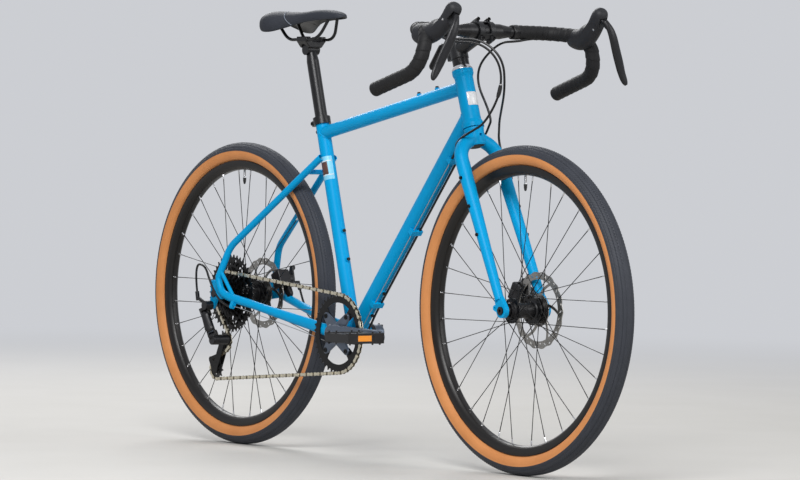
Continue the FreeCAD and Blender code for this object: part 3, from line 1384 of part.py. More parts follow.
def lever_hood():
    spots = hood_spots()
    wires = []
    for i, (c, a, b) in enumerate(spots):
        lo = spots[max(i - 1, 0)][0]
        hi = spots[min(i + 1, len(spots) - 1)][0]
        wires.append(ringed(c, hi - lo, LEVER_AXIS, a, b))
    body = loft(wires)
    p1, k1, k2, end = bar_points()
    body = body.cut(bar_sweep(BAR_RADIUS + 0.1))
    p = lever_pivot()
    spots_l = lever_spots()
    q = spots_l[2][0] - LEVER_AXIS * (spots_l[2][0] - p).dot(LEVER_AXIS)
    for ang in (0, 6, 12, 18, 24):
        v = q - p
        turn = FreeCAD.Rotation(LEVER_AXIS, ang)
        w = p + turn.multVec(v)
        body = body.cut(slab(p, 6.6, w, 8.0, LEVER_AXIS, -9.0, 9.0))
    body = biggest(body)
    back = p + V(-9, 3 * math.tan(LEVER_TILT), -3)
    ears = [slab(p, 5.2, back, 6.5, LEVER_AXIS, 7.0, 10.6), slab(p, 5.2, back, 6.5, LEVER_AXIS, -10.6, -7.0)]
    pin = cyl(p - LEVER_AXIS * 10.4, p + LEVER_AXIS * 10.4, 2.5)
    return fuse([body, pin] + ears)


def bar_tape():
    c = CLAMP
    p1, k1, k2, end = bar_points()
    full = pipe(route([c + YAX * 78, p1, k1, k2, end], BENDS), TAPE_RADIUS)
    core = bar_sweep(BAR_RADIUS + 0.05)
    cone_core = cone(c + YAX * 42, c + YAX * 66, BAR_CLAMP_RADIUS, BAR_RADIUS)
    shell = full.cut(core).cut(cone_core)
    spots = hood_spots()
    wires = []
    for i, (q, a, b) in enumerate(spots):
        lo = spots[max(i - 1, 0)][0]
        hi = spots[min(i + 1, len(spots) - 1)][0]
        wires.append(ringed(q, hi - lo, LEVER_AXIS, a + GAP, b + GAP))
    shell = shell.cut(loft(wires))
    parts = [s for s in shell.Solids if s.Volume > 2000]
    d = unit(end - k2)
    plug = fuse([cyl(end + d * 0.05, end + d * 4, TAPE_RADIUS - 0.5), cyl(end - d * 12, end + d * 1, BAR_RADIUS - 2.1)])
    parts.append(plug)
    return parts + [mirror(s) for s in parts]


# Shift paddle, behind the right lever blade, on a pin along the blade
def paddle_frame():
    spots = lever_spots()
    a = spots[3][0]
    b = spots[5][0]
    along = unit(b - a)
    back = unit(LEVER_AXIS.cross(along))
    if back.x > 0:
        back = back * -1
    base = a + along * 4 + back * 10.2
    return base, along, back


def paddle():
    base, along, back = paddle_frame()
    out = along.cross(back)
    body = fuse([cyl(base, base + along * 14, 3.6),
                 block(base, along, out, (0.5, 13.5), (-3, 3), (-9, 1)),
                 slab(base + along * 9 + back * 8, 6.5, base + along * 50 + back * 8, 8.0, back, -1.8, 1.8)])
    return mirror(body.cut(cyl(base - along * 5, base + along * 30, 1.9 + RUN)))


def paddle_holder():
    base, along, back = paddle_frame()
    pin = cyl(base - along * 6, base + along * 20, 1.9)
    ears = []
    for d0, d1 in ((-6, -GAP), (14 + GAP, 20)):
        ears.append(slab(base + along * d0, 3.4, base - back * 6.5 + along * d0, 3.4, along, 0, d1 - d0))
    return fuse([pin] + ears)


# Disc brake calipers
def caliper(axle, angle, y, turn):
    # Body, pads and arm for a rotor whose mid plane is at y, at an angle round the axle.
    er = V(math.cos(angle), 0, math.sin(angle))
    et = V(-math.sin(angle), 0, math.cos(angle))
    o = axle + er * (ROTOR_RADIUS - 8) + YAX * y
    body = rounded(block(o, er, YAX, (-13, 18), (-13, 18), (-19, 19)), 3.0)
    drum = cyl(o + YAX * 17, o + YAX * 29, 14.5)
    pin = cyl(o + YAX * 28, o + YAX * 36.4, 4.0)
    stop = cyl(o + YAX * 32.5 + er * 20 + et * 22 * turn, o + YAX * 32.5 + er * 20 + et * 33 * turn, 4.6)
    leg = block(o, er, YAX, (11, 24), (15, 35), sorted((turn * 23, turn * 13)))
    if (leg.CenterOfMass - o).dot(et) * turn < 0:
        leg = block(o, er, YAX, (11, 24), (15, 35), sorted((-turn * 23, -turn * 13)))
    body = fuse([body, drum, pin, stop, leg])
    slot = block(o, er, YAX, (-40, 12.5), (-4.6, 4.6), (-60, 60))
    body = biggest(body.cut(slot))
    pads = []
    for s in (-1, 1):
        lo, hi = sorted((s * (ROTOR_THICK / 2 + 0.5), s * 4.55))
        pads.append(block(o, er, YAX, (-9, 7), (lo, hi), (-13, 13)))
    arm_dir = unit(er * 0.5 - et * turn)
    tip = o + arm_dir * 27
    arm = fuse([slab(o, 11.5, tip, 5.0, YAX, 29.3, 33.3), cyl(tip + YAX * 33, tip + YAX * 38, 5.0)])
    arm = arm.cut(cyl(o, o + YAX * 60, 4.0 + RUN))
    cap = cyl(o + YAX * 34.0, o + YAX * 36.4, 7.0)
    body = fuse([body, cap])
    return body, pads, arm, o, er, et


FRONT_ROTOR_Y = HUB_WIDTH_FRONT / 2 - 12.2 + 0.02 + ROTOR_THICK / 2
REAR_ROTOR_Y = DROP_IN - 17.0 + 0.02 + ROTOR_THICK / 2


def front_axle():
    half = HUB_WIDTH_FRONT / 2
    c = FRONT
    shaft = fuse([cyl(c - YAX * (half + LUG + 0.5), c + YAX * (half + LUG - 1), AXLE_RADIUS),
                  cyl(c - YAX * (half + LUG + 0.1), c - YAX * (half + LUG + 3.2), 8.5)])
    shaft = shaft.cut(cyl(c - YAX * (half + LUG - 3), c - YAX * (half + LUG + 9), 3.4))
    sleeve = ring(c - YAX * (half - 0.05), c + YAX * (half - 0.05), SLEEVE, AXLE_RADIUS + RUN)
    caps = []
    for s in (-1, 1):
        depth = 7.5 if s < 0 else 11.2
        caps.append(ring(c + YAX * (s * (half - 0.05)), c + YAX * (s * (half - depth)), BEARING - 1.2, SLEEVE + 0.02))
    return [shaft, sleeve] + caps


def rear_axle():
    half = DROP_IN
    c = REAR
    out = half + DROPOUT_THICK
    shaft = fuse([cyl(c - YAX * (out + 0.5), c + YAX * (out - 0.5), AXLE_RADIUS),
                  cyl(c + YAX * (out + 0.1), c + YAX * (out - 0.6), AXLE_RADIUS),
                  cyl(c + YAX * (out + 0.1), c + YAX * (out + 3.4), 8.5),
                  cyl(c - YAX * (out + 0.1), c - YAX * (out + 3.4), 8.0)])
    shaft = shaft.cut(cyl(c + YAX * (out - 3), c + YAX * (out + 9), 3.4))
    sleeve = ring(c - YAX * (half - 0.05), c + YAX * (half - 0.05), SLEEVE, AXLE_RADIUS + RUN)
    caps = [ring(c + YAX * (half - 0.05), c + YAX * (half - 16.2), BEARING - 1.2, SLEEVE + 0.02),
            ring(c - YAX * (half - 0.05), c - YAX * (half - 1.6), BEARING - 1.2, SLEEVE + 0.02)]
    return [shaft, sleeve] + caps


# Seat
POST_HEAD = seat_at(POST_TOP)
RAIL_Z = POST_HEAD.z + 22.0
RAIL_HALF = 22.0


def seatpost():
    low = SEAT_TUBE_LENGTH - 130
    top = POST_TOP
    r, bore = POST_RADIUS, POST_RADIUS - 2.2
    shaft = put(turned([(low, bore), (low, r), (top - 26, r), (top - 4, 10.6), (top - 4, 0.01), (top - 30, 0.01),
                        (top - 30, bore)]), BB, SEAT)
    head = cyl(POST_HEAD - YAX * 16, POST_HEAD + YAX * 16, 12.0)
    return shaft.fuse(head)


def rails():
    z = RAIL_Z
    nose = SADDLE_NOSE
    pts = [V(nose.x - 34, 8, z + 57), V(nose.x - 66, RAIL_HALF, z), V(POST_HEAD.x - 56, RAIL_HALF, z),
           V(nose.x - SADDLE_LENGTH + 34, RAIL_HALF + 6, z + 45)]
    r = pipe(route(pts, [40.0, 40.0]), 3.5)
    return [r, mirror(r)]


def cradle():
    c = V(POST_HEAD.x, 0, POST_HEAD.z)
    z = RAIL_Z - c.z
    body = block(c, V(1, 0, 0), YAX, (-18, 18), (-27.5, 27.5), (4, z + 6.5))
    body = rounded(body, 2.0)
    body = body.cut(block(c, V(1, 0, 0), YAX, (-40, 40), (-14, 14), (17, z + 20)))
    body = body.cut(cyl(c - YAX * 60, c + YAX * 60, 12.0 + RUN))
    grooves = [cyl(V(c.x - 60, s * RAIL_HALF, RAIL_Z), V(c.x + 60, s * RAIL_HALF, RAIL_Z), 3.5 + 0.05) for s in (-1, 1)]
    for g in grooves:
        body = body.cut(g)
    return biggest(body)


SADDLE_NOSE = V(POST_HEAD.x + 122.0, 0, SADDLE_TOP - 15)


def saddle():
    n = SADDLE_NOSE
    f = SADDLE_LENGTH / 251.0
    w = SADDLE_HALF_WIDTH / 67.0
    t = SADDLE_TOP
    # Place back from the nose, half width, height of the top and of the skirt's edge.
    rows = [(0, 5, t - 13, t - 19), (5, 11, t - 9, t - 20.5), (14, 15.5, t - 5.5, t - 21), (32, 18.5, t - 2, t - 21.5),
            (60, 20.5, t, t - 22.5), (90, 24, t - 0.5, t - 24.5), (118, 29.5, t - 3.5, t - 28), (145, 39, t - 6.5, t - 34),
            (170, 51, t - 7.5, t - 40), (194, 62, t - 6.5, t - 45), (214, 67, t - 5, t - 47.5), (231, 63.5, t - 4.5, t - 47),
            (242, 54, t - 6.5, t - 43), (251, 34, t - 13, t - 33)]
    wires = []
    for dx, hw, top, low in rows:
        x = n.x - dx * f
        hw = hw * w
        h = top - low
        side = [(0, top), (0.5 * hw, top - 0.03 * h), (0.82 * hw, top - 0.16 * h), (0.98 * hw, top - 0.45 * h),
                (0.97 * hw, low + 0.14 * h), (0.86 * hw, low), (0.7 * hw, low + 0.16 * h), (0.4 * hw, low + 0.4 * h), (0, low + 0.46 * h)]
        pts = [V(x, y, z) for y, z in side] + [V(x, -y, z) for y, z in reversed(side[1:-1])]
        curve = Part.BSplineCurve()
        curve.interpolate(Points=pts, PeriodicFlag=True)
        wires.append(Part.Wire(curve.toShape()))
    body = loft(wires)
    for r in rails():
        body = body.cut(r)
    return biggest(body)


# Cables
def cable(name, points, bends, r):
    path = route(points, bends)
    body = pipe(path, r)
    ideal = PI * r * r * path.Length
    tight = min(e.Curve.Radius for e in path.Edges if hasattr(e.Curve, "Radius"))
    print("%s tightest bend %.1f volume ratio %.4f" % (name, tight, body.Volume / ideal))
    return body


def dt_run(d, y, drop):
    return BB + DT_DIR * d + DT_LOW * drop + YAX * y


def front_brake_cable(stop, way):
    c = CLAMP
    k = blade_axis_at(BLADE_BEND)
    m = blade_axis_at(-180)
    pts = [V(c.x + 8, -90, c.z - 19), V(c.x + 46, -40, c.z - 17), V(c.x + 90, -14, c.z - 58), V(c.x + 94, -5, c.z - 121),
           V(c.x + 14, 46, c.z - 184), V(k.x - 18, 70, k.z + 20), V(m.x - 19, 63, m.z), stop + way * 28, stop]
    return cable("front_brake_cable", pts, [40, 40, 60, 60, 50, 60, 50], HOUSING_RADIUS)


def under_shell(y, r):
    # Corner of a bend that wraps the bottom bracket shell from the down tube line.
    return V(BB.x + r * (1 - DT_DIR.x) / DT_DIR.z, y, BB.z - r)


def rear_brake_cable(stop, way):
    c = CLAMP
    h = HEAD
    round_shell = SHELL_RADIUS + HOUSING_RADIUS + 2.0
    pts = [V(c.x + 8, 88, c.z - 19), V(c.x - 10, 46, c.z - 22), V(c.x - 68, 40, c.z - 88), V(h.x + 10, 40, h.z + 18),
           V(h.x - 10, 40, h.z - 14), dt_run(DT_LEN * GUIDES[2] + 26, BRAKE_SIDE, CABLE_DROP),
           dt_run(84, BRAKE_SIDE, CABLE_DROP), under_shell(BRAKE_SIDE + 3, round_shell),
           V(BB.x - 70, 22, BB.z - round_shell + 2), V(BB.x - 122, 38, BB.z - 13), V(BB.x - 205, 45, BB.z + 9),
           V(BB.x - 278, 74, BB.z + 30), stop + way * 26, stop]
    return cable("rear_brake_cable", pts, [26, 40, 42, 22, 40, 90, round_shell, 60, 60, 60, 60, 22], HOUSING_RADIUS)


WIRE_STOP = V(REAR.x + 73, -(STAY_Y + 2.5), REAR.z - 27)


def shift_cable():
    c = CLAMP
    h = HEAD
    end = dt_run(DT_LEN * GUIDES[2] + 6.2, SHIFT_SIDE, CABLE_DROP)
    lead = dt_run(DT_LEN * GUIDES[2] + 22, SHIFT_SIDE, CABLE_DROP)
    wrap = SHELL_RADIUS + WIRE_RADIUS + 1.8
    pts = [V(c.x + 10, -90, c.z - 26), V(c.x + 47, -44, c.z - 24), V(c.x + 84, -18, c.z - 62), V(c.x + 88, -9, c.z - 121),
           V(h.x + 40, -20, h.z + 8), V(h.x + 2, -40, h.z - 4), V(h.x - 22, -28, h.z - 30), lead, end]
    top = cable("shift housing", pts, [34, 36, 60, 60, 22, 20, 26], HOUSING_RADIUS)
    inside = dt_run(DT_LEN * GUIDES[2] + 6.0, SHIFT_SIDE, CABLE_DROP)
    wire = [inside, dt_run(84, SHIFT_SIDE, CABLE_DROP), under_shell(SHIFT_SIDE - 1, wrap),
            V(BB.x - 70, -24, BB.z - wrap + 2), V(BB.x - 122, -37.5, BB.z - 5), WIRE_STOP + V(20, 0, 0), WIRE_STOP + V(-5, 0, 0)]
    low = cable("shift wire", wire, [90, wrap, 60, 60, 60], WIRE_RADIUS)
    d = unit(BARREL_TOP - BARREL_LOW)
    b = BARREL_TOP + d * 0.1
    start = WIRE_STOP + V(-5.1, 0, 0)
    loop = [start, WIRE_STOP + V(-17, 0, 0), WIRE_STOP + V(-42, -12, 18), V(REAR.x + 5, -(STAY_Y + 16.5), REAR.z + 27),
            V(REAR.x - 17, -(STAY_Y + 15.5), REAR.z + 62), V(REAR.x - 62, b.y, REAR.z + 62), b]
    last = cable("shift loop", loop, [16, 30, 50, 18, 18], HOUSING_RADIUS)
    return [top, low, last]


def wire_stop(stay):
    c = WIRE_STOP
    body = slab(c, 4.6, V(c.x, -(STAY_Y - 5), REAR.z - 8), 4.6, V(1, 0, 0), -5, 5)
    body = biggest(body.cut(stay))
    return body.cut(cyl(c - V(20, 0, 0), c + V(20, 0, 0), WIRE_RADIUS + 0.5))


def frame_bolts():
    out = []
    for p, o in TT_BOSSES + ST_BOSSES + DT_BOSSES:
        out.append(bolt(p + o * 3.02, o))
    out.append(collar_bolt())
    return out


# Build everything
save("head_tube", head_tube())
save("top_tube", top_tube())
save("down_tube", down_tube())
save("seat_tube", seat_tube())
save("bottom_bracket_shell", bottom_bracket_shell())
STAYS, CHAINS, CS_SOLID, SS_SOLID = rear_triangle()
save("seat_stays", STAYS)
save("chain_stays", CHAINS)
save("cable_stop", wire_stop(mirror(CS_SOLID)))
save("seat_clamp", seat_clamp())
save("frame_bolts", frame_bolts())
save("bearing_cups", bearing_cups())
save("rear_axle", rear_axle())

for name, shapes in front_wheel().items():
    save(name, [put(x, FRONT) for x in shapes])
for name, shapes in rear_wheel().items():
    save(name, [put(x, REAR) for x in shapes])

save("cassette", cassette())
save("chain", chain())
save("chainring", chainring())
save("crankset", crankset())
save("pedal_axles", pedal_axles())
save("pedal_right", pedal(-1))
save("pedal_left", pedal(1))

BARREL_LOW = V(HANGER.x - 34, BARREL_TOP.y, HANGER.z + 10)
save("derailleur_knuckle", derailleur_knuckle())
save("derailleur_outer_link", derailleur_link(0, LINK_HALF))
save("derailleur_inner_link", derailleur_link(1, LINK_HALF))
save("derailleur_lower", lower_knuckle())
save("derailleur_cage", derailleur_cage())
save("guide_pulley", pulley(GUIDE_C))
save("tension_pulley", pulley(TENSION_C))

save("fork_crown", fork_crown())
BLADE = fork_blade()
save("fork_blades", [BLADE, mirror(BLADE)])
save("headset_spacers", headset_spacers())
STEM, STEM_BOLTS = stem()
save("stem", STEM)
save("steering_bolts", fork_bolt_list() + STEM_BOLTS)
save("handlebar", handlebar())
save("bar_tape", bar_tape())
HOOD = lever_hood()
save("lever_hoods", [HOOD, mirror(HOOD)])
LEVER = lever_blade()
save("brake_lever_left", LEVER)
save("brake_lever_right", fuse([mirror(LEVER), mirror(paddle_holder().cut(LEVER))]))
save("shift_paddle", paddle())
save("front_axle", front_axle())

FC, FP, FA, FO, FER, FET = caliper(FRONT, math.radians(153), FRONT_ROTOR_Y, -1)
FOOT = slab(FO - FET * 4 + FER * 6, 11, FO - FET * 40 - FER * 2, 7, YAX, 8, 17)
LEG = cone(blade_line()[0], blade_line()[1], BLADE_TOP, BLADE_LOW)
FC = biggest(fuse([FC, FOOT.cut(block(FO, FER, YAX, (-40, 12.5), (-4.6, 4.6), (-60, 60)))]).cut(BLADE))
save("front_caliper", [FC] + FP)
save("front_caliper_arm", FA)
save("front_brake_cable", front_brake_cable(FO + YAX * 32.5 + FER * 20 - FET * 33.3, FET * -1))
RC, RP, RA, RO, RER, RET = caliper(REAR, math.radians(26), REAR_ROTOR_Y, -1)
RFOOT = slab(RO - RET * 4, 11, RO - RET * 36 + RER * 6, 8, YAX, 8, 17)
RC = biggest(fuse([RC, RFOOT]).cut(CS_SOLID))
save("rear_caliper", [RC] + RP)
save("rear_caliper_arm", RA)
save("rear_brake_cable", rear_brake_cable(RO + YAX * 32.5 + RER * 20 - RET * 33.3, RET * -1))
save("shift_cable", shift_cable())

save("seatpost", seatpost())
save("saddle_rails", rails() + [cradle()])
save("saddle", saddle())
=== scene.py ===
# %% [markdown]
# # A steel gravel bike
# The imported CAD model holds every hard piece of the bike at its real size, and this lesson gives
# it its looks: paint, rubber, vinyl, cables and all the small things that repeat by the hundred.
# Everything is in metres, X forward, Y to the rider's left, Z up, so a piece that is modelled here
# lands on the CAD with no fitting. Lengths are written in millimetres and scaled once, in one place.

# %% Load the frame
import json
import math

import bmesh
import bpy
import numpy as np
from mathutils import Matrix, Vector
from mathutils.bvhtree import BVHTree
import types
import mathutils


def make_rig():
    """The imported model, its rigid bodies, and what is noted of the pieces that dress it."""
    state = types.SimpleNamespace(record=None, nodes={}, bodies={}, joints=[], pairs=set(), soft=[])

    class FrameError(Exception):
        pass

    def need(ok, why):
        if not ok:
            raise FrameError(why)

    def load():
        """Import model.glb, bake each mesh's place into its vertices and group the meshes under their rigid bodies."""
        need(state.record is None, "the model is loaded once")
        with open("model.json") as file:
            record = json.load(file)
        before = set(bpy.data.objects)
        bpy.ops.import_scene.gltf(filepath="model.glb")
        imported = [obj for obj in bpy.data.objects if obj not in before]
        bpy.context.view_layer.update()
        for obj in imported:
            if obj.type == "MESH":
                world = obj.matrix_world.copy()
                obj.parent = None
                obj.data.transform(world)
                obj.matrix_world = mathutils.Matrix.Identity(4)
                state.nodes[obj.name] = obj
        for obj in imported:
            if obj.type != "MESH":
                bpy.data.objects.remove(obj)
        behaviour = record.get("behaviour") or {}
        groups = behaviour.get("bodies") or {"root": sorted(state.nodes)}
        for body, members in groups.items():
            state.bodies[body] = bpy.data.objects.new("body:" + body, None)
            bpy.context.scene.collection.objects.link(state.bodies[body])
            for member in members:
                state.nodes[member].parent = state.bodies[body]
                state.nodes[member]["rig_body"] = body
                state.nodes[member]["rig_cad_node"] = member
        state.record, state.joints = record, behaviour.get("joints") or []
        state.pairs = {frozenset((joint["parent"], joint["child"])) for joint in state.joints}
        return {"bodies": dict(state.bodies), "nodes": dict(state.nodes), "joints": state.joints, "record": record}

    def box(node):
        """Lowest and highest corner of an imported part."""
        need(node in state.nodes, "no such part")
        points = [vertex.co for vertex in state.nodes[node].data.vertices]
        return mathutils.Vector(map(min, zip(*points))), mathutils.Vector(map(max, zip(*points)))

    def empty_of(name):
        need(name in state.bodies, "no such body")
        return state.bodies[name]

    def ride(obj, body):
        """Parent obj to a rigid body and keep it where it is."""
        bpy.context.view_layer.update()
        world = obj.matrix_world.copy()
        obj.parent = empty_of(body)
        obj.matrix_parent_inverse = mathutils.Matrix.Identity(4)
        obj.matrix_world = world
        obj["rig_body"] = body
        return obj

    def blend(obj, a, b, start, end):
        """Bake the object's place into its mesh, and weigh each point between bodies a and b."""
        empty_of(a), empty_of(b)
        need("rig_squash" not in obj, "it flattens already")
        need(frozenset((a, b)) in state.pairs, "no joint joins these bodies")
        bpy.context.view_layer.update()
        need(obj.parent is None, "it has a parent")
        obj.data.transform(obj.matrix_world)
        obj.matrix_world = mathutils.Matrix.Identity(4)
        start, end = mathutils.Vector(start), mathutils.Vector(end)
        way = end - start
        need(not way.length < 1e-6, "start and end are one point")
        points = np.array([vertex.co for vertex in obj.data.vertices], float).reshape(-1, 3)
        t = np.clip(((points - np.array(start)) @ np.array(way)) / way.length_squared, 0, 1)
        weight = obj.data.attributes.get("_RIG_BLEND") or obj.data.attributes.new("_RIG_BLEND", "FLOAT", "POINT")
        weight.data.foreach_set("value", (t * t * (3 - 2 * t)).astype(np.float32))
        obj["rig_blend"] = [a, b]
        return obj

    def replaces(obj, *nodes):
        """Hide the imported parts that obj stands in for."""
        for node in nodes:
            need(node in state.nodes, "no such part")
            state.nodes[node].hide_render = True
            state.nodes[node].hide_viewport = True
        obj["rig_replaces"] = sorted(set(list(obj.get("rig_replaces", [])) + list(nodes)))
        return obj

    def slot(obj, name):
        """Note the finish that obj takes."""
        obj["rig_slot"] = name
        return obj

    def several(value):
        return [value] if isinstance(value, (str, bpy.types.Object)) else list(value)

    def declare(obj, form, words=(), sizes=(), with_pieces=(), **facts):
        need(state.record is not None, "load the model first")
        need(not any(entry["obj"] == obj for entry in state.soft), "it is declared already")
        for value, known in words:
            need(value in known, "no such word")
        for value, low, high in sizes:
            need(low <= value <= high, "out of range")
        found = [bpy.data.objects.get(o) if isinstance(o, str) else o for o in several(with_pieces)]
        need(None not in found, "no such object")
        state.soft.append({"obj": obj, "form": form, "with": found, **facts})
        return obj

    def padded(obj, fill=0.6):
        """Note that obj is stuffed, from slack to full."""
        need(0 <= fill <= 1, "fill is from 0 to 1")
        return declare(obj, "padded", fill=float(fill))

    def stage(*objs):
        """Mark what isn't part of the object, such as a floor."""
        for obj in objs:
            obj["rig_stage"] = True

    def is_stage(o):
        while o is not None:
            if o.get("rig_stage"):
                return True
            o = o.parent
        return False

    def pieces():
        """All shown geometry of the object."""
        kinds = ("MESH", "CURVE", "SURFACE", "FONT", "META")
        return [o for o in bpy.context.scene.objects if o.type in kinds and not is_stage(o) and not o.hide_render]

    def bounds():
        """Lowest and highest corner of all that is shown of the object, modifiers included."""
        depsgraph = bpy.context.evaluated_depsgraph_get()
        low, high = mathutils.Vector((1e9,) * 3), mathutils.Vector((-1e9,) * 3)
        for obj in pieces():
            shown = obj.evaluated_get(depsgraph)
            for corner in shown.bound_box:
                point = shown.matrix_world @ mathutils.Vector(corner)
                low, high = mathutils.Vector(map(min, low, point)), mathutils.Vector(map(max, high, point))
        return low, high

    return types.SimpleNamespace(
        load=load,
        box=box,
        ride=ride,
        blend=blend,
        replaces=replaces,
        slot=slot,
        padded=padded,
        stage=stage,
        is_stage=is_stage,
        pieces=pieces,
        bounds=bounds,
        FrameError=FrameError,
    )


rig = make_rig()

for thing in list(bpy.data.objects):
    bpy.data.objects.remove(thing)
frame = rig.load()
cad_low, cad_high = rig.bounds()
NODES = frame["nodes"]
JOINTS = {j["name"]: j for j in frame["joints"]}
MM = 0.001
print("nodes", len(NODES), "joints", len(JOINTS))

# %% [markdown]
# ## Points that the rest is tied to
# A bike is drawn from a few points: the two axles, the bottom bracket and the steering axis. The
# record holds them as joints, so they are read from there instead of being typed again.

# %% Main points, in millimetres


def joint_point(name):
    return Vector(JOINTS[name]["pos_m"]) / MM


def joint_axis(name):
    return Vector(JOINTS[name]["axis"]).normalized()


def ray(angle):
    """Unit way in the plane of the wheels, turned up from straight ahead."""
    return Vector((math.cos(angle), 0, math.sin(angle)))


def held(value):
    """A share kept between 0 and 1."""
    return min(max(value, 0), 1)


FRONT = joint_point("front_wheel_spin")
REAR = joint_point("rear_wheel_spin")
BRACKET = joint_point("crank_spin")
HEAD = joint_point("steering")
UP = joint_axis("steering")
LEFT = Vector((0, 1, 0))
AHEAD = LEFT.cross(UP).normalized()
SEAT_UP = joint_axis("seatpost_slide")
print("front", FRONT, "rear", REAR, "head", HEAD)

# %% [markdown]
# ## Shader maths as plain expressions
# Finishes are built from noise, stripes and masks. Wrapping a socket in a small class lets the
# script write `1 - mask * 0.3` and have Blender's Math nodes appear behind it, which is far easier
# to read than a page of node links.

# %% A wrapped socket and a finish builder


class Value:
    """A socket that can stand in sums and products."""

    def __init__(self, nodes, socket):
        self.nodes = nodes
        self.socket = socket

    def __add__(self, other):
        return self.nodes.maths("ADD", self, other)

    def __radd__(self, other):
        return self.nodes.maths("ADD", other, self)

    def __sub__(self, other):
        return self.nodes.maths("SUBTRACT", self, other)

    def __rsub__(self, other):
        return self.nodes.maths("SUBTRACT", other, self)

    def __mul__(self, other):
        return self.nodes.maths("MULTIPLY", self, other)

    def __rmul__(self, other):
        return self.nodes.maths("MULTIPLY", other, self)

    def __truediv__(self, other):
        return self.nodes.maths("DIVIDE", self, other)

    def __rtruediv__(self, other):
        return self.nodes.maths("DIVIDE", other, self)


class Nodes:
    """What a material and a geometry tree share: adding nodes, feeding sockets, doing maths."""

    def feed(self, socket, value):
        if isinstance(value, Value):
            self.tree.links.new(value.socket, socket)
        else:
            socket.default_value = value

    def node(self, kind, settings, sockets, out=0):
        made = self.tree.nodes.new(kind)
        for key, value in settings.items():
            setattr(made, key, value)
        for key, value in sockets.items():
            self.feed(made.inputs[key], value)
        return Value(self, made.outputs[out])

    def maths(self, operation, *terms):
        return self.node("ShaderNodeMath", {"operation": operation}, dict(enumerate(terms)))


class Finish(Nodes):
    """A Principled material whose changing sockets are fed by expressions."""

    def __init__(self, name, fixed):
        self.material = bpy.data.materials.new(name)
        self.material.use_nodes = True
        self.tree = self.material.node_tree
        self.tree.nodes.clear()
        self.shader = self.tree.nodes.new("ShaderNodeBsdfPrincipled")
        end = self.tree.nodes.new("ShaderNodeOutputMaterial")
        self.tree.links.new(self.shader.outputs[0], end.inputs[0])
        for socket, value in fixed.items():
            self.feed(self.shader.inputs[socket], value)

    def set(self, socket, value):
        self.feed(self.shader.inputs[socket], value)

    def place(self):
        return self.node("ShaderNodeTexCoord", {}, {}, "Object")

    def noise(self, scale, detail=2.0, where=None):
        where = where or self.place()
        return self.node("ShaderNodeTexNoise", {}, {"Vector": where, "Scale": scale, "Detail": detail})

    def blend(self, mask, one, other):
        return self.node("ShaderNodeMix", {"data_type": "RGBA"}, {0: mask, 6: one, 7: other}, 2)

    def bump(self, height, depth_mm, strength=1.0):
        ways = {"Strength": strength, "Distance": depth_mm * MM, "Height": height}
        self.set("Normal", self.node("ShaderNodeBump", {}, ways))


def colour(red, green, blue):
    """A colour as a screen shows it, 0 to 255, turned into the linear values that a shader uses."""
    line = []
    for part in (red, green, blue):
        c = part / 255
        line.append(c / 12.92 if c < 0.04045 else ((c + 0.055) / 1.055) ** 2.4)
    return (*line, 1.0)


# %% [markdown]
# ## The finishes
# Each finish starts from a base colour taken from the real thing and gets the detail that the eye
# expects at its own scale: orange peel in the paint, a fine grain on rubber, drawn lines on
# brushed steel, and soft patches of dust or polish in the roughness.

# %% Painted, anodised and bare metal


def mottled(name, dark, light, rough, fixed, scale=90.0, grain=1400.0, depth=0.02):
    """A finish whose colour and gloss drift slowly, over a fine grain."""
    f = Finish(name, fixed)
    drift = f.noise(scale, 3.0)
    fine = f.noise(grain, 2.0)
    f.set("Base Color", f.blend(drift, colour(*dark), colour(*light)))
    f.set("Roughness", rough + drift * 0.10 + fine * 0.05)
    f.bump(fine + drift * 0.3, depth, 0.5)
    return f.material


ENAMEL = {"Coat Weight": 0.04, "Coat Roughness": 0.25, "Specular IOR Level": 0.09}
PAINT = mottled("paint_blue", (0, 146, 202), (0, 157, 215), 0.34, ENAMEL, 14.0, 900.0, 0.012)
ANODISED = mottled("anodised_black", (13, 13, 15), (21, 21, 24), 0.26, {"Metallic": 0.3})
RIM_BLACK = mottled("rim_black", (15, 13, 12), (23, 20, 18), 0.30, {"Metallic": 0.3})
SPOKE_BLACK = mottled("spoke_black", (9, 9, 10), (17, 17, 19), 0.28, {"Metallic": 0.4})
CRANK_GREY = mottled("crank_grey", (80, 88, 100), (104, 114, 129), 0.24, {"Metallic": 0.72}, 60.0)
STEM_GREY = mottled("stem_grey", (20, 21, 23), (31, 32, 35), 0.32, {"Metallic": 0.3}, 60.0)
CAST_BLACK = mottled("cast_black", (15, 15, 17), (27, 27, 31), 0.30, {"Metallic": 0.3}, 120.0, 2200.0, 0.04)
SILVER = mottled("silver", (196, 196, 198), (222, 222, 224), 0.16, {"Metallic": 1.0})
BLACK_STEEL = mottled("black_steel", (20, 20, 21), (40, 39, 38), 0.22, {"Metallic": 0.75}, 160.0)
PLASTIC = mottled("moulded_black", (15, 15, 16), (24, 24, 26), 0.38, {}, 70.0, 2600.0, 0.03)


def brushed(name, dark, light, rough, across):
    """Bare steel with drawn lines; across stretches the noise one way."""
    f = Finish(name, {"Metallic": 1.0})
    lines = f.noise(1.0, 4.0, f.node("ShaderNodeMapping", {}, {"Vector": f.place(), "Scale": across}))
    patch = f.noise(55.0, 2.0)
    f.set("Base Color", f.blend(lines, colour(*dark), colour(*light)))
    f.set("Roughness", rough + lines * 0.16 + patch * 0.08)
    f.bump(lines, 0.012, 0.5)
    return f.material


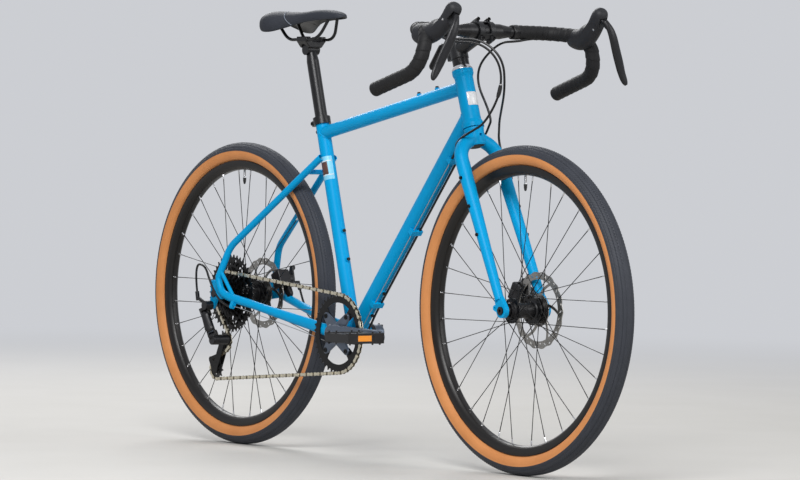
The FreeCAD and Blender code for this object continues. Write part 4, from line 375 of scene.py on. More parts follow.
ROTOR_STEEL = brushed("rotor_steel", (118, 116, 112), (176, 174, 170), 0.22, (700, 90, 700))
CHAIN_STEEL = brushed("chain_steel", (182, 174, 152), (230, 224, 206), 0.20, (420, 420, 420))
# The inner links take a darker copy of the chain steel: painted shade for the dark gaps between the bright outer
# plates.
CHAIN_SHADED = brushed("chain_oiled", (78, 73, 63), (122, 114, 98), 0.26, (420, 420, 420))
WIRE_STEEL = brushed("wire_steel", (150, 150, 150), (205, 205, 205), 0.25, (900, 900, 90))
print("metal finishes ready")

# %% Rubber, tape, vinyl and plastic


def rubber(name, dark, light, rough, scale, grain, depth):
    f = Finish(name, {"Specular IOR Level": 0.35})
    drift = f.noise(scale, 3.0)
    fine = f.noise(grain, 3.0)
    dust = f.noise(scale * 3.5, 4.0)
    f.set("Base Color", f.blend(drift * 0.7 + dust * 0.3, colour(*dark), colour(*light)))
    f.set("Roughness", rough + fine * 0.14 + drift * 0.08)
    f.bump(fine, depth, 0.7)
    return f.material


TREAD = rubber("tread_rubber", (40, 43, 50), (60, 63, 71), 0.48, 22.0, 1500.0, 0.10)
HOOD_RUBBER = rubber("hood_rubber", (23, 24, 27), (35, 36, 41), 0.46, 30.0, 1900.0, 0.06)
TUBE_RUBBER = rubber("tube_rubber", (20, 20, 20), (34, 34, 34), 0.55, 30.0, 1200.0, 0.05)
HOUSING = rubber("housing_black", (14, 14, 15), (22, 22, 24), 0.24, 60.0, 2400.0, 0.01)


def tan_wall():
    """Bare casing: two crossing sets of threads under a thin skin of tan rubber."""
    f = Finish("tan_sidewall", {"Specular IOR Level": 0.3})
    drift = f.noise(16.0, 3.0)
    spot = f.noise(140.0, 3.0)
    uv = f.node("ShaderNodeTexCoord", {}, {}, "UV")
    threads = []
    for turn in (0.62, -0.62):
        spun = f.node("ShaderNodeMapping", {}, {"Vector": uv, "Rotation": (0, 0, turn)})
        threads.append(f.node("ShaderNodeTexWave", {}, {"Vector": spun, "Scale": 260.0}, "Fac"))
    cloth = threads[0] * threads[1]
    tone = f.blend(drift * 0.75 + spot * 0.25, colour(190, 122, 68), colour(224, 153, 95))
    f.set("Base Color", f.blend(cloth * 0.18, tone, colour(158, 98, 52)))
    f.set("Roughness", 0.50 + spot * 0.16)
    f.bump(cloth + spot * 0.5, 0.05, 0.6)
    return f.material


TAN = tan_wall()


def tape_finish():
    """Cork tape: matt, closed-cell and full of tiny pits."""
    f = Finish("bar_tape", {"Specular IOR Level": 0.3})
    pits = f.node("ShaderNodeTexVoronoi", {}, {"Vector": f.place(), "Scale": 900.0})
    drift = f.noise(45.0, 3.0)
    f.set("Base Color", f.blend(drift, colour(14, 14, 15), colour(26, 26, 28)))
    f.set("Roughness", 0.58 + drift * 0.12)
    f.bump(pits, 0.14, 0.6)
    return f.material


TAPE = tape_finish()


def saddle_finish():
    """Vinyl cover: a fine pebbled grain over a slow drift in tone."""
    f = Finish("saddle_cover", {"Specular IOR Level": 0.4})
    pebble = f.node("ShaderNodeTexVoronoi", {"feature": "SMOOTH_F1"}, {"Vector": f.place(), "Scale": 620.0})
    drift = f.noise(18.0, 3.0)
    f.set("Base Color", f.blend(drift, colour(29, 32, 39), colour(45, 49, 58)))
    f.set("Roughness", 0.56 + drift * 0.14 + pebble * 0.1)
    f.bump(pebble, 0.02, 0.5)
    return f.material


SADDLE = saddle_finish()


def reflector():
    """Orange prism plastic: small pyramids under a clear face."""
    f = Finish("reflector_orange", {"Coat Weight": 1.0, "Coat Roughness": 0.05})
    prism = f.node("ShaderNodeTexVoronoi", {"distance": "MANHATTAN"},
                   {"Vector": f.place(), "Scale": 420.0, "Randomness": 0.0})
    f.set("Base Color", f.blend(prism, colour(214, 104, 0), colour(255, 160, 20)))
    f.set("Roughness", 0.14 + prism * 0.2)
    f.bump(prism, 0.3, 0.8)
    return f.material


REFLECTOR = reflector()
BADGE = mottled("badge_white", (206, 208, 211), (226, 228, 230), 0.24, {"Coat Weight": 0.4})
LABEL_BLUE = mottled("label_blue", (118, 194, 224), (134, 206, 234), 0.34, {})
LABEL_BROWN = mottled("label_brown", (72, 44, 36), (90, 58, 47), 0.34, {})
# Pale grey of the saddle's seam piping: a painted highlight on the ridge of the seam.
PIPING_HIGHLIGHT = rubber("saddle_piping", (104, 111, 123), (130, 138, 150), 0.40, 40.0, 1500.0, 0.02)
print("soft finishes ready")


# %% [markdown]
# ## Meshes and trees
# A revolved or lofted piece is a list of rings of points, joined by quads. What repeats or follows
# a path is grown by a Geometry Nodes tree: one tree sets a shape on many points, one sweeps a
# round section along many lines, and one wraps tape. Each result becomes a plain mesh at once.

# %% Mesh helpers


def shown(name, mesh, sharp=35.0):
    """Links a mesh at the origin, doubles merged, faces outwards, smooth but for its edges."""
    work = bmesh.new()
    work.from_mesh(mesh)
    bmesh.ops.remove_doubles(work, verts=work.verts, dist=1e-6)
    bmesh.ops.recalc_face_normals(work, faces=work.faces)
    work.to_mesh(mesh)
    work.free()
    mesh.shade_smooth()
    mesh.set_sharp_from_angle(angle=math.radians(sharp))
    made = bpy.data.objects.new(name, mesh)
    bpy.context.scene.collection.objects.link(made)
    return made


def settled(name, work):
    """Turns finished bmesh work into a plain mesh."""
    mesh = bpy.data.meshes.new(name)
    work.to_mesh(mesh)
    work.free()
    return mesh


def evaluated(thing):
    """The plain mesh that an object's modifiers or a filled curve come to."""
    graph = bpy.context.evaluated_depsgraph_get()
    return bpy.data.meshes.new_from_object(thing.evaluated_get(graph), depsgraph=graph)


def mirrored(line):
    """A profile of (across, radius) points on the other side."""
    return [(-y, r) for y, r in line]


def rings(name, rows, finishes, loop=False, choose=None, sharp=35.0):
    """Quads over rows of points in millimetres; loop joins the ends, or else both are closed."""
    count, size = len(rows), len(rows[0])
    mesh = bpy.data.meshes.new(name)
    faces = []
    marks = []
    for i in range(count if loop else count - 1):
        a = i * size
        b = (i + 1) % count * size
        for j in range(size):
            k = (j + 1) % size
            faces.append((a + j, b + j, b + k, a + k))
            marks.append(choose(j) if choose else 0)
    if not loop:
        faces += [tuple(range(size)), tuple(range((count - 1) * size, count * size))]
        marks += [0, 0]
    mesh.from_pydata([tuple(p * MM) for row in rows for p in row], [], faces)
    for f in finishes:
        mesh.materials.append(f)
    mesh.polygons.foreach_set("material_index", marks)
    uv = mesh.uv_layers.new(name="skin")
    spots = []
    for face in mesh.polygons:
        first = face.vertices[0] // size
        for v in face.vertices:
            row, col = divmod(v, size)
            if loop and first == count - 1 and row == 0:
                row = count
            spots += [row / count, col / size]
    uv.data.foreach_set("uv", spots)
    return shown(name, mesh, sharp)


def spun(name, centre, axis, profile, finishes, steps=96, choose=None, sharp=35.0):
    """Turns a closed profile of (along, radius) points about an axis."""
    axis = axis.normalized()
    side = axis.orthogonal().normalized()
    other = axis.cross(side)
    rows = []
    for i in range(steps):
        w = 2 * math.pi * i / steps
        out = side * math.cos(w) + other * math.sin(w)
        rows.append([centre + axis * y + out * r for y, r in profile])
    return rings(name, rows, finishes, True, choose, sharp)


def belongs(made, body, slot, *nodes):
    """Rides a piece on its body, names its slot and the CAD nodes that it stands for."""
    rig.ride(made, body)
    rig.slot(made, slot)
    if nodes:
        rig.replaces(made, *nodes)
    return made


# %% Geometry Nodes helpers


class Grove(Nodes):
    """A Geometry Nodes tree with named inputs."""

    def __init__(self, name, inputs):
        self.tree = bpy.data.node_groups.new(name, "GeometryNodeTree")
        ways = self.tree.interface
        ways.new_socket("Geometry", in_out="INPUT", socket_type="NodeSocketGeometry")
        for label, kind in inputs.items():
            ways.new_socket(label, in_out="INPUT", socket_type="NodeSocket" + kind)
        ways.new_socket("Geometry", in_out="OUTPUT", socket_type="NodeSocketGeometry")
        self.start = self.tree.nodes.new("NodeGroupInput")

    def given(self, label):
        return Value(self, self.start.outputs[label])

    def named(self, label, kind="FLOAT"):
        return self.node("GeometryNodeInputNamedAttribute", {"data_type": kind}, {"Name": label})

    def stored(self, geometry, label, value):
        ways = {"Geometry": geometry, "Name": label, "Value": value}
        return self.node("GeometryNodeStoreNamedAttribute", {"data_type": "FLOAT", "domain": "POINT"}, ways)

    def rounded(self, count):
        """The given edges as curves, each corner rounded by its own bend."""
        path = self.node("GeometryNodeMeshToCurve", {}, {"Mesh": self.given("Geometry")})
        ways = {"Curve": path, "Radius": self.named("bend"), "Limit Radius": True, "Count": count}
        return self.node("GeometryNodeFilletCurve", {"mode": "POLY"}, ways)

    def tube(self, path, sides, scale, mark=None):
        """A closed round tube along a path; mark stores how far round its circle a point lies."""
        disc = self.node("GeometryNodeCurvePrimitiveCircle", {}, {"Resolution": sides, "Radius": 1.0})
        if mark:
            disc = self.stored(disc, mark, self.node("GeometryNodeSplineParameter", {}, {}, "Factor"))
        ways = {"Curve": path, "Profile Curve": disc, "Scale": scale, "Fill Caps": True}
        return self.node("GeometryNodeCurveToMesh", {}, ways)

    def end(self, geometry):
        whole = self.node("GeometryNodeRealizeInstances", {}, {"Geometry": geometry})
        ways = {"Geometry": whole, "Material": self.given("Finish")}
        done = self.node("GeometryNodeSetMaterial", {}, ways)
        out = self.tree.nodes.new("NodeGroupOutput")
        self.tree.links.new(done.socket, out.inputs[0])
        return self.tree


def grown(name, tree, mesh, inputs, sharp=35.0):
    """Runs a tree on a mesh and keeps the result as a plain mesh object."""
    seed = bpy.data.objects.new(name + "_seed", mesh)
    bpy.context.scene.collection.objects.link(seed)
    grow = seed.modifiers.new("grow", "NODES")
    grow.node_group = tree
    for item in tree.interface.items_tree:
        if item.in_out == "INPUT" and item.name in inputs:
            grow[item.identifier] = inputs[item.name]
    result = evaluated(seed)
    seed.modifiers.clear()
    bpy.data.objects.remove(seed)
    result.name = name
    return shown(name, result, sharp)


def points(spots):
    """Loose points with the way out and the way along that a shape is set by."""
    mesh = bpy.data.meshes.new("spots")
    mesh.from_pydata([tuple(p * MM) for p, out, along in spots], [], [])
    for label, pick in (("out", 1), ("along", 2)):
        layer = mesh.attributes.new(label, "FLOAT_VECTOR", "POINT")
        layer.data.foreach_set("vector", [c for s in spots for c in s[pick]])
    return mesh


def lines(runs):
    """Lines of (point, radius, bend) in millimetres, as edges that the sweep follows."""
    mesh = bpy.data.meshes.new("runs")
    verts, edges, thick, bend = [], [], [], []
    for run in runs:
        first = len(verts)
        for p, r, b in run:
            verts.append(tuple(p * MM))
            thick.append(r * MM)
            bend.append(b * MM)
        edges += [(i, i + 1) for i in range(first, len(verts) - 1)]
    mesh.from_pydata(verts, edges, [])
    for label, values in (("thick", thick), ("bend", bend)):
        mesh.attributes.new(label, "FLOAT", "POINT").data.foreach_set("value", values)
    return mesh


def scatter_tree():
    g = Grove("scatter", {"Shape": "Object", "Finish": "Material"})
    out, along = (g.named(label, "FLOAT_VECTOR") for label in ("out", "along"))
    stood = g.node("FunctionNodeAlignRotationToVector", {"axis": "Z"}, {"Vector": out})
    aimed = g.node("FunctionNodeAlignRotationToVector", {"axis": "X", "pivot_axis": "Z"},
                   {"Rotation": stood, "Vector": along})
    shape = g.node("GeometryNodeObjectInfo", {}, {"Object": g.given("Shape")}, "Geometry")
    return g.end(g.node("GeometryNodeInstanceOnPoints", {},
                        {"Points": g.given("Geometry"), "Instance": shape, "Rotation": aimed}))


def sweep_tree():
    g = Grove("sweep", {"Sides": "Int", "Finish": "Material"})
    return g.end(g.tube(g.rounded(10), g.given("Sides"), g.named("thick")))


SCATTER = scatter_tree()
SWEEP = sweep_tree()


def scattered(name, shape, spots, finish):
    made = grown(name, SCATTER, points(spots), {"Shape": shape, "Finish": finish})
    print(name, len(spots), "copies,", len(made.data.polygons), "faces")
    return made


def swept(name, runs, finish, sides=12):
    made = grown(name, SWEEP, lines(runs), {"Sides": sides, "Finish": finish})
    print(name, len(runs), "runs,", len(made.data.polygons), "faces")
    return made


# %% [markdown]
# ## Dressing the CAD nodes
# Most hard pieces already have the right shape, so they only get a finish. The frame and fork
# share one paint, castings share another black than anodised parts, and so on.

# %% Finishes of the CAD nodes
DRESS = {
    PAINT: ["head_tube", "top_tube", "down_tube", "seat_tube", "bottom_bracket_shell", "seat_stays",
            "chain_stays", "cable_stop", "fork_crown", "fork_blades"],
    ANODISED: ["seat_clamp", "bearing_cups", "rear_axle", "front_axle", "handlebar", "seatpost",
               "hub_front", "hub_rear"],
    CAST_BLACK: ["front_caliper", "rear_caliper", "front_caliper_arm", "rear_caliper_arm",
                 "derailleur_knuckle", "derailleur_inner_link", "derailleur_lower", "brake_lever_left",
                 "brake_lever_right"],
    CRANK_GREY: ["crankset", "derailleur_outer_link"],
    STEM_GREY: ["stem"],
    BLACK_STEEL: ["frame_bolts", "steering_bolts", "cassette", "chainring", "saddle_rails",
                  "derailleur_cage"],
    ROTOR_STEEL: ["rotor_front", "rotor_rear", "pedal_axles"],
    SILVER: ["headset_spacers"],
    PLASTIC: ["pedal_left", "pedal_right", "shift_paddle", "guide_pulley", "tension_pulley"],
    RIM_BLACK: ["rim_front", "rim_rear"],
    SPOKE_BLACK: ["spokes_front", "spokes_rear"],
    CHAIN_STEEL: ["chain"],
    TREAD: ["tyre_front", "tyre_rear"],
    TUBE_RUBBER: ["inner_tube_front", "inner_tube_rear"],
    TAPE: ["bar_tape"],
    HOOD_RUBBER: ["lever_hoods"],
    HOUSING: ["front_brake_cable", "rear_brake_cable", "shift_cable"],
    SADDLE: ["saddle"],
}
for finish, names in DRESS.items():
    for name in names:
        for slot in NODES[name].material_slots:
            slot.material = finish
print("dressed", sum(len(n) for n in DRESS.values()), "nodes")

# %% [markdown]
# ## Tyres
# A gravel tyre is a tan casing with a black cap of tread. The cap is almost slick: a few
# shallow grooves run round it and a fine file pattern covers it. One closed profile is spun about
# the axle, with the grooves in the profile and the colour chosen by the place on it. The file
# pattern is a small bar, set down thousands of times by the scatter tree.

# %% Tyre profile and tread bars
TYRE_R, TYRE_HALF = 339.0, 23.5
BEAD_R = 292.0
CAP_DEGREES, WALL_EDGE = 80.0, math.radians(130)
CROWN_R = TYRE_R - TYRE_HALF
# height of the layer that the bars stand in, their foot under the skin and their top above it
BAR_HIGH, BAR_FOOT, BAR_TOP = 0.5, -0.3, 0.35
# degrees from the middle of the tread, width in degrees, depth
GROOVES = ((17.0, 2.2, 1.1), (38.0, 2.4, 1.1), (61.0, 2.2, 0.8))
INNER_R, INNER_EDGE = 20.6, math.radians(118)


def tread_height(angle):
    """How far the surface stands off the round casing, in millimetres."""
    a = abs(math.degrees(angle))
    height = -BAR_HIGH
    for middle, width, depth in GROOVES:
        height -= depth * math.exp(-((a - middle) / width) ** 2)
    if a > CAP_DEGREES:
        height -= 0.6 * min((a - CAP_DEGREES) / 3, 1.0)
    return height


def tyre_profile():
    outer = []
    steps = 130
    for i in range(steps + 1):
        a = -WALL_EDGE + 2 * WALL_EDGE * i / steps
        r = TYRE_HALF + tread_height(a)
        outer.append((r * math.sin(a), CROWN_R + r * math.cos(a)))
    bead = [(11.1, BEAD_R + 7.0), (11.1, BEAD_R + 0.6), (7.8, BEAD_R + 0.6), (7.8, BEAD_R + 7.4)]
    inner = []
    for i in range(17):
        a = INNER_EDGE * (1 - i / 8)
        inner.append((INNER_R * math.sin(a), CROWN_R - 1.8 + INNER_R * math.cos(a)))
    return outer + bead + inner + mirrored(bead[::-1]), steps


PROFILE, OUTER_STEPS = tyre_profile()


def tyre_side(j):
    a = -WALL_EDGE + 2 * WALL_EDGE * (j + 0.5) / OUTER_STEPS
    return 1 if j < OUTER_STEPS and abs(a) < math.radians(CAP_DEGREES) else 0


def bar_shape():
    """A low bar with bevelled ends, its foot on the XY plane."""
    mesh = bpy.data.meshes.new("tread_bar")
    foot = [(-2.6, -0.9), (2.6, -0.9), (2.6, 0.9), (-2.6, 0.9)]
    verts = [(x * MM, y * MM, BAR_FOOT * MM) for x, y in foot]
    verts += [(x * 0.86 * MM, y * 0.62 * MM, BAR_TOP * MM) for x, y in foot]
    faces = [(i, (i + 1) % 4, (i + 1) % 4 + 4, i + 4) for i in range(4)]
    mesh.from_pydata(verts, [], faces + [(4, 5, 6, 7), (3, 2, 1, 0)])
    return bpy.data.objects.new("tread_bar", mesh)


TREAD_BAR = bar_shape()
# degrees out from the middle of the tread; every second row is shifted by half a step
ROWS = (4.6, 11.0, 23.0, 30.0, 45.0, 52.0, 68.0, 74.0)
BARS_ROUND = 300
BAR_SLANT = 0.5


def tread_spots(axle):
    spots = []
    for row, degrees in enumerate(ROWS):
        shift = row % 2 / 2
        for side in (-1, 1):
            a = math.radians(degrees) * side
            for i in range(BARS_ROUND):
                w = 2 * math.pi * (i + shift + 0.25 * side) / BARS_ROUND
                radial = ray(w)
                tangent = Vector((-radial.z, 0, radial.x))
                out = radial * math.cos(a) + LEFT * math.sin(a)
                across = LEFT * math.cos(a) - radial * math.sin(a)
                spot = axle + radial * CROWN_R + out * (TYRE_HALF - BAR_HIGH)
                along = across * math.cos(BAR_SLANT) + tangent * (math.sin(BAR_SLANT) * side)
                spots.append((spot, out, along))
    return spots


WHEELS = {"front": ("front_wheel", FRONT), "rear": ("rear_wheel", REAR)}
for end, (body, axle) in WHEELS.items():
    tyre = spun("tyre_" + end + "_skin", axle, LEFT, PROFILE, [TAN, TREAD], 288, tyre_side, 60.0)
    belongs(tyre, body, "tan_tyre", "tyre_" + end)
    bars = scattered("tread_" + end, TREAD_BAR, tread_spots(axle), TREAD)
    belongs(bars, body, "tan_tyre")
    print(tyre.name, len(tyre.data.polygons), "faces")

# %% [markdown]
# ## Rims, valves and spokes
# The rim is a box section of black anodised aluminium, so a closed profile is spun with rounded
# shoulders. Thirty-two butted spokes leave each hub crossing three others, and each ends in a
# silver nipple. The lacing is a rule, so the lines are worked out and the sweep tree thickens them.

# %% Rims and valves
RIM_IN = BEAD_R + 6.0 - 20.5
RIM_HOOK = [(13.7, 298), (12.0, 298.2), (11.6, 297.4), (11.5, 292), (6.5, 292), (5, 288.5)]
RIM_BOX = [(14, 297), (13.9, 291), (13.2, RIM_IN + 7.6), (11.9, RIM_IN + 5.1), (8.6, RIM_IN + 2.0),
           (6.4, RIM_IN + 0.5), (4.0, RIM_IN)]
RIM_SHAPE = RIM_HOOK + mirrored(RIM_HOOK[::-1]) + mirrored(RIM_BOX) + RIM_BOX[::-1]
VALVE_TIP = BEAD_R - 47.0


def valve(name, axle):
    """Threaded stem with a ring nut on the rim and a cap with finger grooves."""
    z = RIM_IN - VALVE_TIP
    shape = [(z + 40, 0.01), (z + 40, 2.9), (z + 4, 2.9), (z + 3.9, 5.2), (z + 0.6, 5.2), (z + 0.5, 2.9)]
    level = z
    while level > 17:
        shape += [(level, 2.9), (level - 0.5, 2.55)]
        level -= 1.0
    cap = len(shape)
    shape += [(14.5, 2.9), (14.4, 3.7), (10, 3.8), (9.6, 3.4), (8.6, 3.4), (8.2, 3.7),
              (2.2, 2.5), (0.3, 1.6), (0, 0.01)]
    foot = axle + Vector((0, 0, VALVE_TIP))
    return spun(name, foot, Vector((0, 0, 1)), shape, [SILVER, PLASTIC], 20, lambda j: int(j >= cap))


for end, (body, axle) in WHEELS.items():
    rim = spun("rim_" + end + "_hoop", axle, LEFT, RIM_SHAPE, [RIM_BLACK], 240)
    belongs(rim, body, "black_metal", "rim_" + end)
    belongs(valve("valve_" + end, axle), body, "inner_rubber", "inner_tube_" + end)

# %% Spokes and nipples
FLANGES = {"front": ((22.5, 27.0), (-31.0, 23.0)), "rear": ((33.0, 29.0), (-20.0, 29.0))}
SPOKES, CROSSES = 16, 3
STEP = 2 * math.pi / SPOKES
# distance of a spoke's head from the flange, outside and inside, and depth of its tip in the rim
HEAD_OUT, HEAD_IN, TIP_DEEP = 4.0, 2.6, 3.0
# length from the tip, radius
NIPPLE = ((0, 2.0), (5, 2.0), (5.2, 1.75), (12.6, 1.75), (13.5, 1.2))


def lacing(axle, flanges):
    """Lines of the spokes and of their nipples for one wheel."""
    wires, nipples = [], []
    for k, (y, hole_r) in enumerate(flanges):
        side = 1 if y > 0 else -1
        for i in range(SPOKES):
            a = STEP / 4 + k * STEP / 2 + i * STEP
            lead = 1 if i % 2 == 0 else -1
            b = a + lead * CROSSES * STEP
            off = side * HEAD_OUT if lead > 0 else -side * HEAD_IN
            hole = axle + ray(a) * hole_r + LEFT * y
            head = hole - LEFT * off
            elbow = hole + LEFT * off
            tip = axle + ray(b) * (RIM_IN + TIP_DEEP) + LEFT * (side * 2.4)
            d = (tip - elbow).normalized()
            wires.append([(head, 1.9, 0), (head + LEFT * off * 0.2, 1.0, 0), (elbow, 1.0, 1.9),
                          (elbow + d * 26, 1.0, 0), (elbow + d * 44, 0.85, 0), (tip - d * 40, 0.85, 0),
                          (tip - d * 24, 1.0, 0), (tip, 1.0, 0)])
            nipples.append([(tip - d * back, r, 0) for back, r in NIPPLE])
    return wires, nipples


for end, (body, axle) in WHEELS.items():
    wires, nipples = lacing(axle, FLANGES[end])
    belongs(swept("spokes_" + end + "_wires", wires, SPOKE_BLACK, 10), body, "black_steel", "spokes_" + end)
    belongs(swept("nipples_" + end, nipples, SILVER, 8), body, "silver")

# %% [markdown]
# ## Chain
# A chain is two kinds of link by turns: an inner link of two plates on rollers and an outer link of
# two plates on pins. The CAD chain is one island of faces per link, so each island's middle and
# direction are measured, and the scatter tree sets a link with waisted plates on every one.

# %% Where the links lie


def islands(node):
    """Point clouds of the separate solids of a CAD node, in millimetres."""
    work = bmesh.new()
    work.from_mesh(NODES[node].data)
    bmesh.ops.remove_doubles(work, verts=work.verts, dist=1e-6)
    seen = set()
    clouds = []
    for first in work.verts:
        if first.index in seen:
            continue
        seen.add(first.index)
        heap, cloud = [first], []
        while heap:
            v = heap.pop()
            cloud.append(v.co / MM)
            for e in v.link_edges:
                w = e.other_vert(v)
                if w.index not in seen:
                    seen.add(w.index)
                    heap.append(w)
        clouds.append(np.array(cloud))
    work.free()
    return clouds


def link_spots():
    inner, outer = [], []
    for cloud in islands("chain"):
        flat = cloud[:, [0, 2]]
        way = np.linalg.eigh(np.cov((flat - flat.mean(0)).T))[1][:, 1]
        reach = flat @ way
        middle = flat.mean(0) + way * ((reach.max() + reach.min()) / 2 - (flat.mean(0) @ way))
        y = (cloud[:, 1].max() + cloud[:, 1].min()) / 2
        spot = (Vector((middle[0], y, middle[1])), LEFT, Vector((way[0], 0, way[1])))
        wide = cloud[:, 1].max() - cloud[:, 1].min()
        (outer if wide > 5.4 else inner).append(spot)
    return inner, outer


INNER_LINKS, OUTER_LINKS = link_spots()
print("links", len(INNER_LINKS), len(OUTER_LINKS))

# %% Link shapes and the chain itself
PITCH = 12.7


def plate_outline(end, waist):
    """Figure-eight outline of a link plate."""
    line = []
    for side in (1, -1):
        for i in range(7):
            w = math.radians(-75 + 150 * i / 6)
            line.append((side * (PITCH / 2 + end * math.cos(w)), side * end * math.sin(w)))
        line.append((0, side * waist))
    return line


def prism(work, outline, low, high):
    """Closed prism over an outline, between two heights."""
    floor = [work.verts.new((x * MM, y * MM, low * MM)) for x, y in outline]
    roof = [work.verts.new((x * MM, y * MM, high * MM)) for x, y in outline]
    work.faces.new(list(reversed(floor)))
    work.faces.new(roof)
    for i in range(len(outline)):
        k = (i + 1) % len(outline)
        work.faces.new((floor[i], floor[k], roof[k], roof[i]))


def polar(r, w):
    return (r * math.cos(w), r * math.sin(w))


def disc_outline(x, r, sides=10):
    ring = [polar(r, 2 * math.pi * i / sides) for i in range(sides)]
    return [(x + a, b) for a, b in ring]


def link_shape(name, end, waist, plates, pin_r, pin_half):
    work = bmesh.new()
    for low, high in plates:
        prism(work, plate_outline(end, waist), low, high)
    for x in (-PITCH / 2, PITCH / 2):
        prism(work, disc_outline(x, pin_r), -pin_half, pin_half)
    return bpy.data.objects.new(name, settled(name, work))


INNER_SHAPE = link_shape("inner_link", 4.15, 2.7, ((1.15, 2.05), (-2.05, -1.15)), 3.85, 1.3)
OUTER_SHAPE = link_shape("outer_link", 4.0, 2.6, ((2.15, 3.1), (-3.1, -2.15)), 1.8, 3.35)
# Outer links wear the bright steel, and inner links its darker copy, which is painted shade between the plates.
for word, shape, spots, finish in (("inner", INNER_SHAPE, INNER_LINKS, CHAIN_SHADED),
                                   ("outer", OUTER_SHAPE, OUTER_LINKS, CHAIN_STEEL)):
    links = scattered("chain_" + word + "_links", shape, spots, finish)
    belongs(links, NODES["chain"]["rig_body"], "bare_steel", "chain")

# %% [markdown]
# ## Castings and mouldings
# Forged cranks, cast calipers and moulded hoods have no knife edges. A copy of the CAD node is
# rebuilt on a fine voxel grid and relaxed a little, which rounds every edge as a mould would, and
# the copy stands for the node. The hoods, the levers and the saddle's clamp are then shaped further.

# %% Rounded copies of CAD nodes


def moulded(node, voxel, rounds, finish, slot):
    """A copy of a CAD node with its edges softened, on the node's own body."""
    mesh = NODES[node].data.copy()
    mesh.materials.clear()
    mesh.materials.append(finish)
    copy = shown(node + "_moulded", mesh)
    grid = copy.modifiers.new("grid", "REMESH")
    grid.mode = "VOXEL"
    grid.voxel_size = voxel * MM
    ease = copy.modifiers.new("ease", "SMOOTH")
    ease.factor = 0.5
    ease.iterations = rounds
    result = evaluated(copy)
    copy.modifiers.clear()
    copy.data = result
    result.materials.clear()
    result.materials.append(finish)
    result.shade_smooth()
    belongs(copy, NODES[node]["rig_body"], slot, node)
    print(copy.name, len(result.polygons), "faces")
    return copy


# %% Levers, hoods and the clamp under the rails
# distance from the pivot where a blade starts to broaden, length over which it does, end left out, growth
BLADE_ROOT, BLADE_GROWTH, BLADE_TIP, BLADE_WIDER = 20.0, 28.0, 9.0, 0.22
# ends of the dip behind the lever's pivot, height over which it comes in, depth
DIP_START, DIP_END, DIP_ROOM, DIP_DEEP = -60.0, -10.0, 27.0, 15.0
# a point on the middle line of a hood, from the lever's pivot, and the line's slope
HOOD_X, HOOD_Z, HOOD_SLOPE = -29.0, -16.0, 0.74
# reach of the clamp from the tilt axis, its top and foot above that, share of its width at the foot
CRADLE_REACH, CRADLE_TOP, CRADLE_FOOT, CRADLE_SHARE = 19.0, 18.5, 2.0, 0.52


def widen_blade(lever, joint):
    """A lever's blade is broader than its root, which has to fit into the hood."""
    pivot = joint_point(joint) * MM
    axis = joint_axis(joint)
    spots = [v.co - pivot for v in lever.data.vertices]
    sides = [p.dot(axis) for p in spots]
    reach = [(p - axis * s).length for p, s in zip(spots, sides)]
    middles = np.polyval(np.polyfit(reach, sides, 2), reach)
    tip = max(reach) / MM - BLADE_TIP
    for v, far, side, middle in zip(lever.data.vertices, reach, sides, middles):
        share = held(min(far / MM - BLADE_ROOT, tip - far / MM) / BLADE_GROWTH)
        v.co += axis * ((side - float(middle)) * BLADE_WIDER * share)


def press_hoods(hoods):
    """A hood is level behind its horn, so the straight rise is pressed down there."""
    pivots = {word: joint_point("lever_" + word + "_pull") for word in ("left", "right")}
    for v in hoods.data.vertices:
        pivot = pivots["left" if v.co.y > 0 else "right"]
        x, z = v.co.x / MM - pivot.x, v.co.z / MM - pivot.z
        if DIP_START < x < DIP_END:
            middle = HOOD_Z + HOOD_SLOPE * (x - HOOD_X)
            share = held((z - middle) / DIP_ROOM)
            bell = math.sin(math.pi * (x - DIP_START) / (DIP_END - DIP_START)) ** 2
            v.co.z -= DIP_DEEP * bell * share * MM


def narrow_clamp(rails):
    """The clamp under the rails narrows towards the post."""
    tilt = joint_point("saddle_tilt") * MM
    for v in rails.data.vertices:
        up = (v.co.z - tilt.z) / MM
        if abs(v.co.x - tilt.x) < CRADLE_REACH * MM and up < CRADLE_TOP:
            share = held((up - CRADLE_FOOT) / (CRADLE_TOP - CRADLE_FOOT))
            v.co.y *= CRADLE_SHARE + (1 - CRADLE_SHARE) * share


moulded("crankset", 0.9, 4, CRANK_GREY, "crank_grey")
hoods = moulded("lever_hoods", 1.1, 10, HOOD_RUBBER, "tape")
press_hoods(hoods)
for word in ("left", "right"):
    lever = moulded("brake_lever_" + word, 0.8, 5, CAST_BLACK, "plastic")
    widen_blade(lever, "lever_" + word + "_pull")
for node in ("front_caliper", "rear_caliper"):
    moulded(node, 0.7, 3, CAST_BLACK, "black_metal")
for node in ("derailleur_knuckle", "derailleur_lower"):
    moulded(node, 0.6, 3, CAST_BLACK, "crank_grey")
moulded("stem", 0.8, 3, STEM_GREY, "black_metal")
narrow_clamp(moulded("saddle_rails", 0.6, 4, ANODISED, "black_steel"))

# %% [markdown]
# ## Brake rotors
# A rotor is cut from sheet steel, so its outline and all its holes are drawn flat as closed curves.
# Blender fills the space between them and gives it the sheet's thickness. Thin arms sweep back
# from the braking band, and slots run round the band to clear water and dust.

# %% Rotor outlines
BAND_IN, BAND_OUT, HUB_R, ROTOR_THICK = 64.0, 80.0, 17.6, 1.8
ARMS, SLOTS, WAVES = 6, 30, 18
# radius of a slot's middle, half its length, its slant
SLOT_KINDS = ((72.0, 4.6, 0.9), (75.2, 3.0, 0.2), (68.6, 3.0, 0.2))


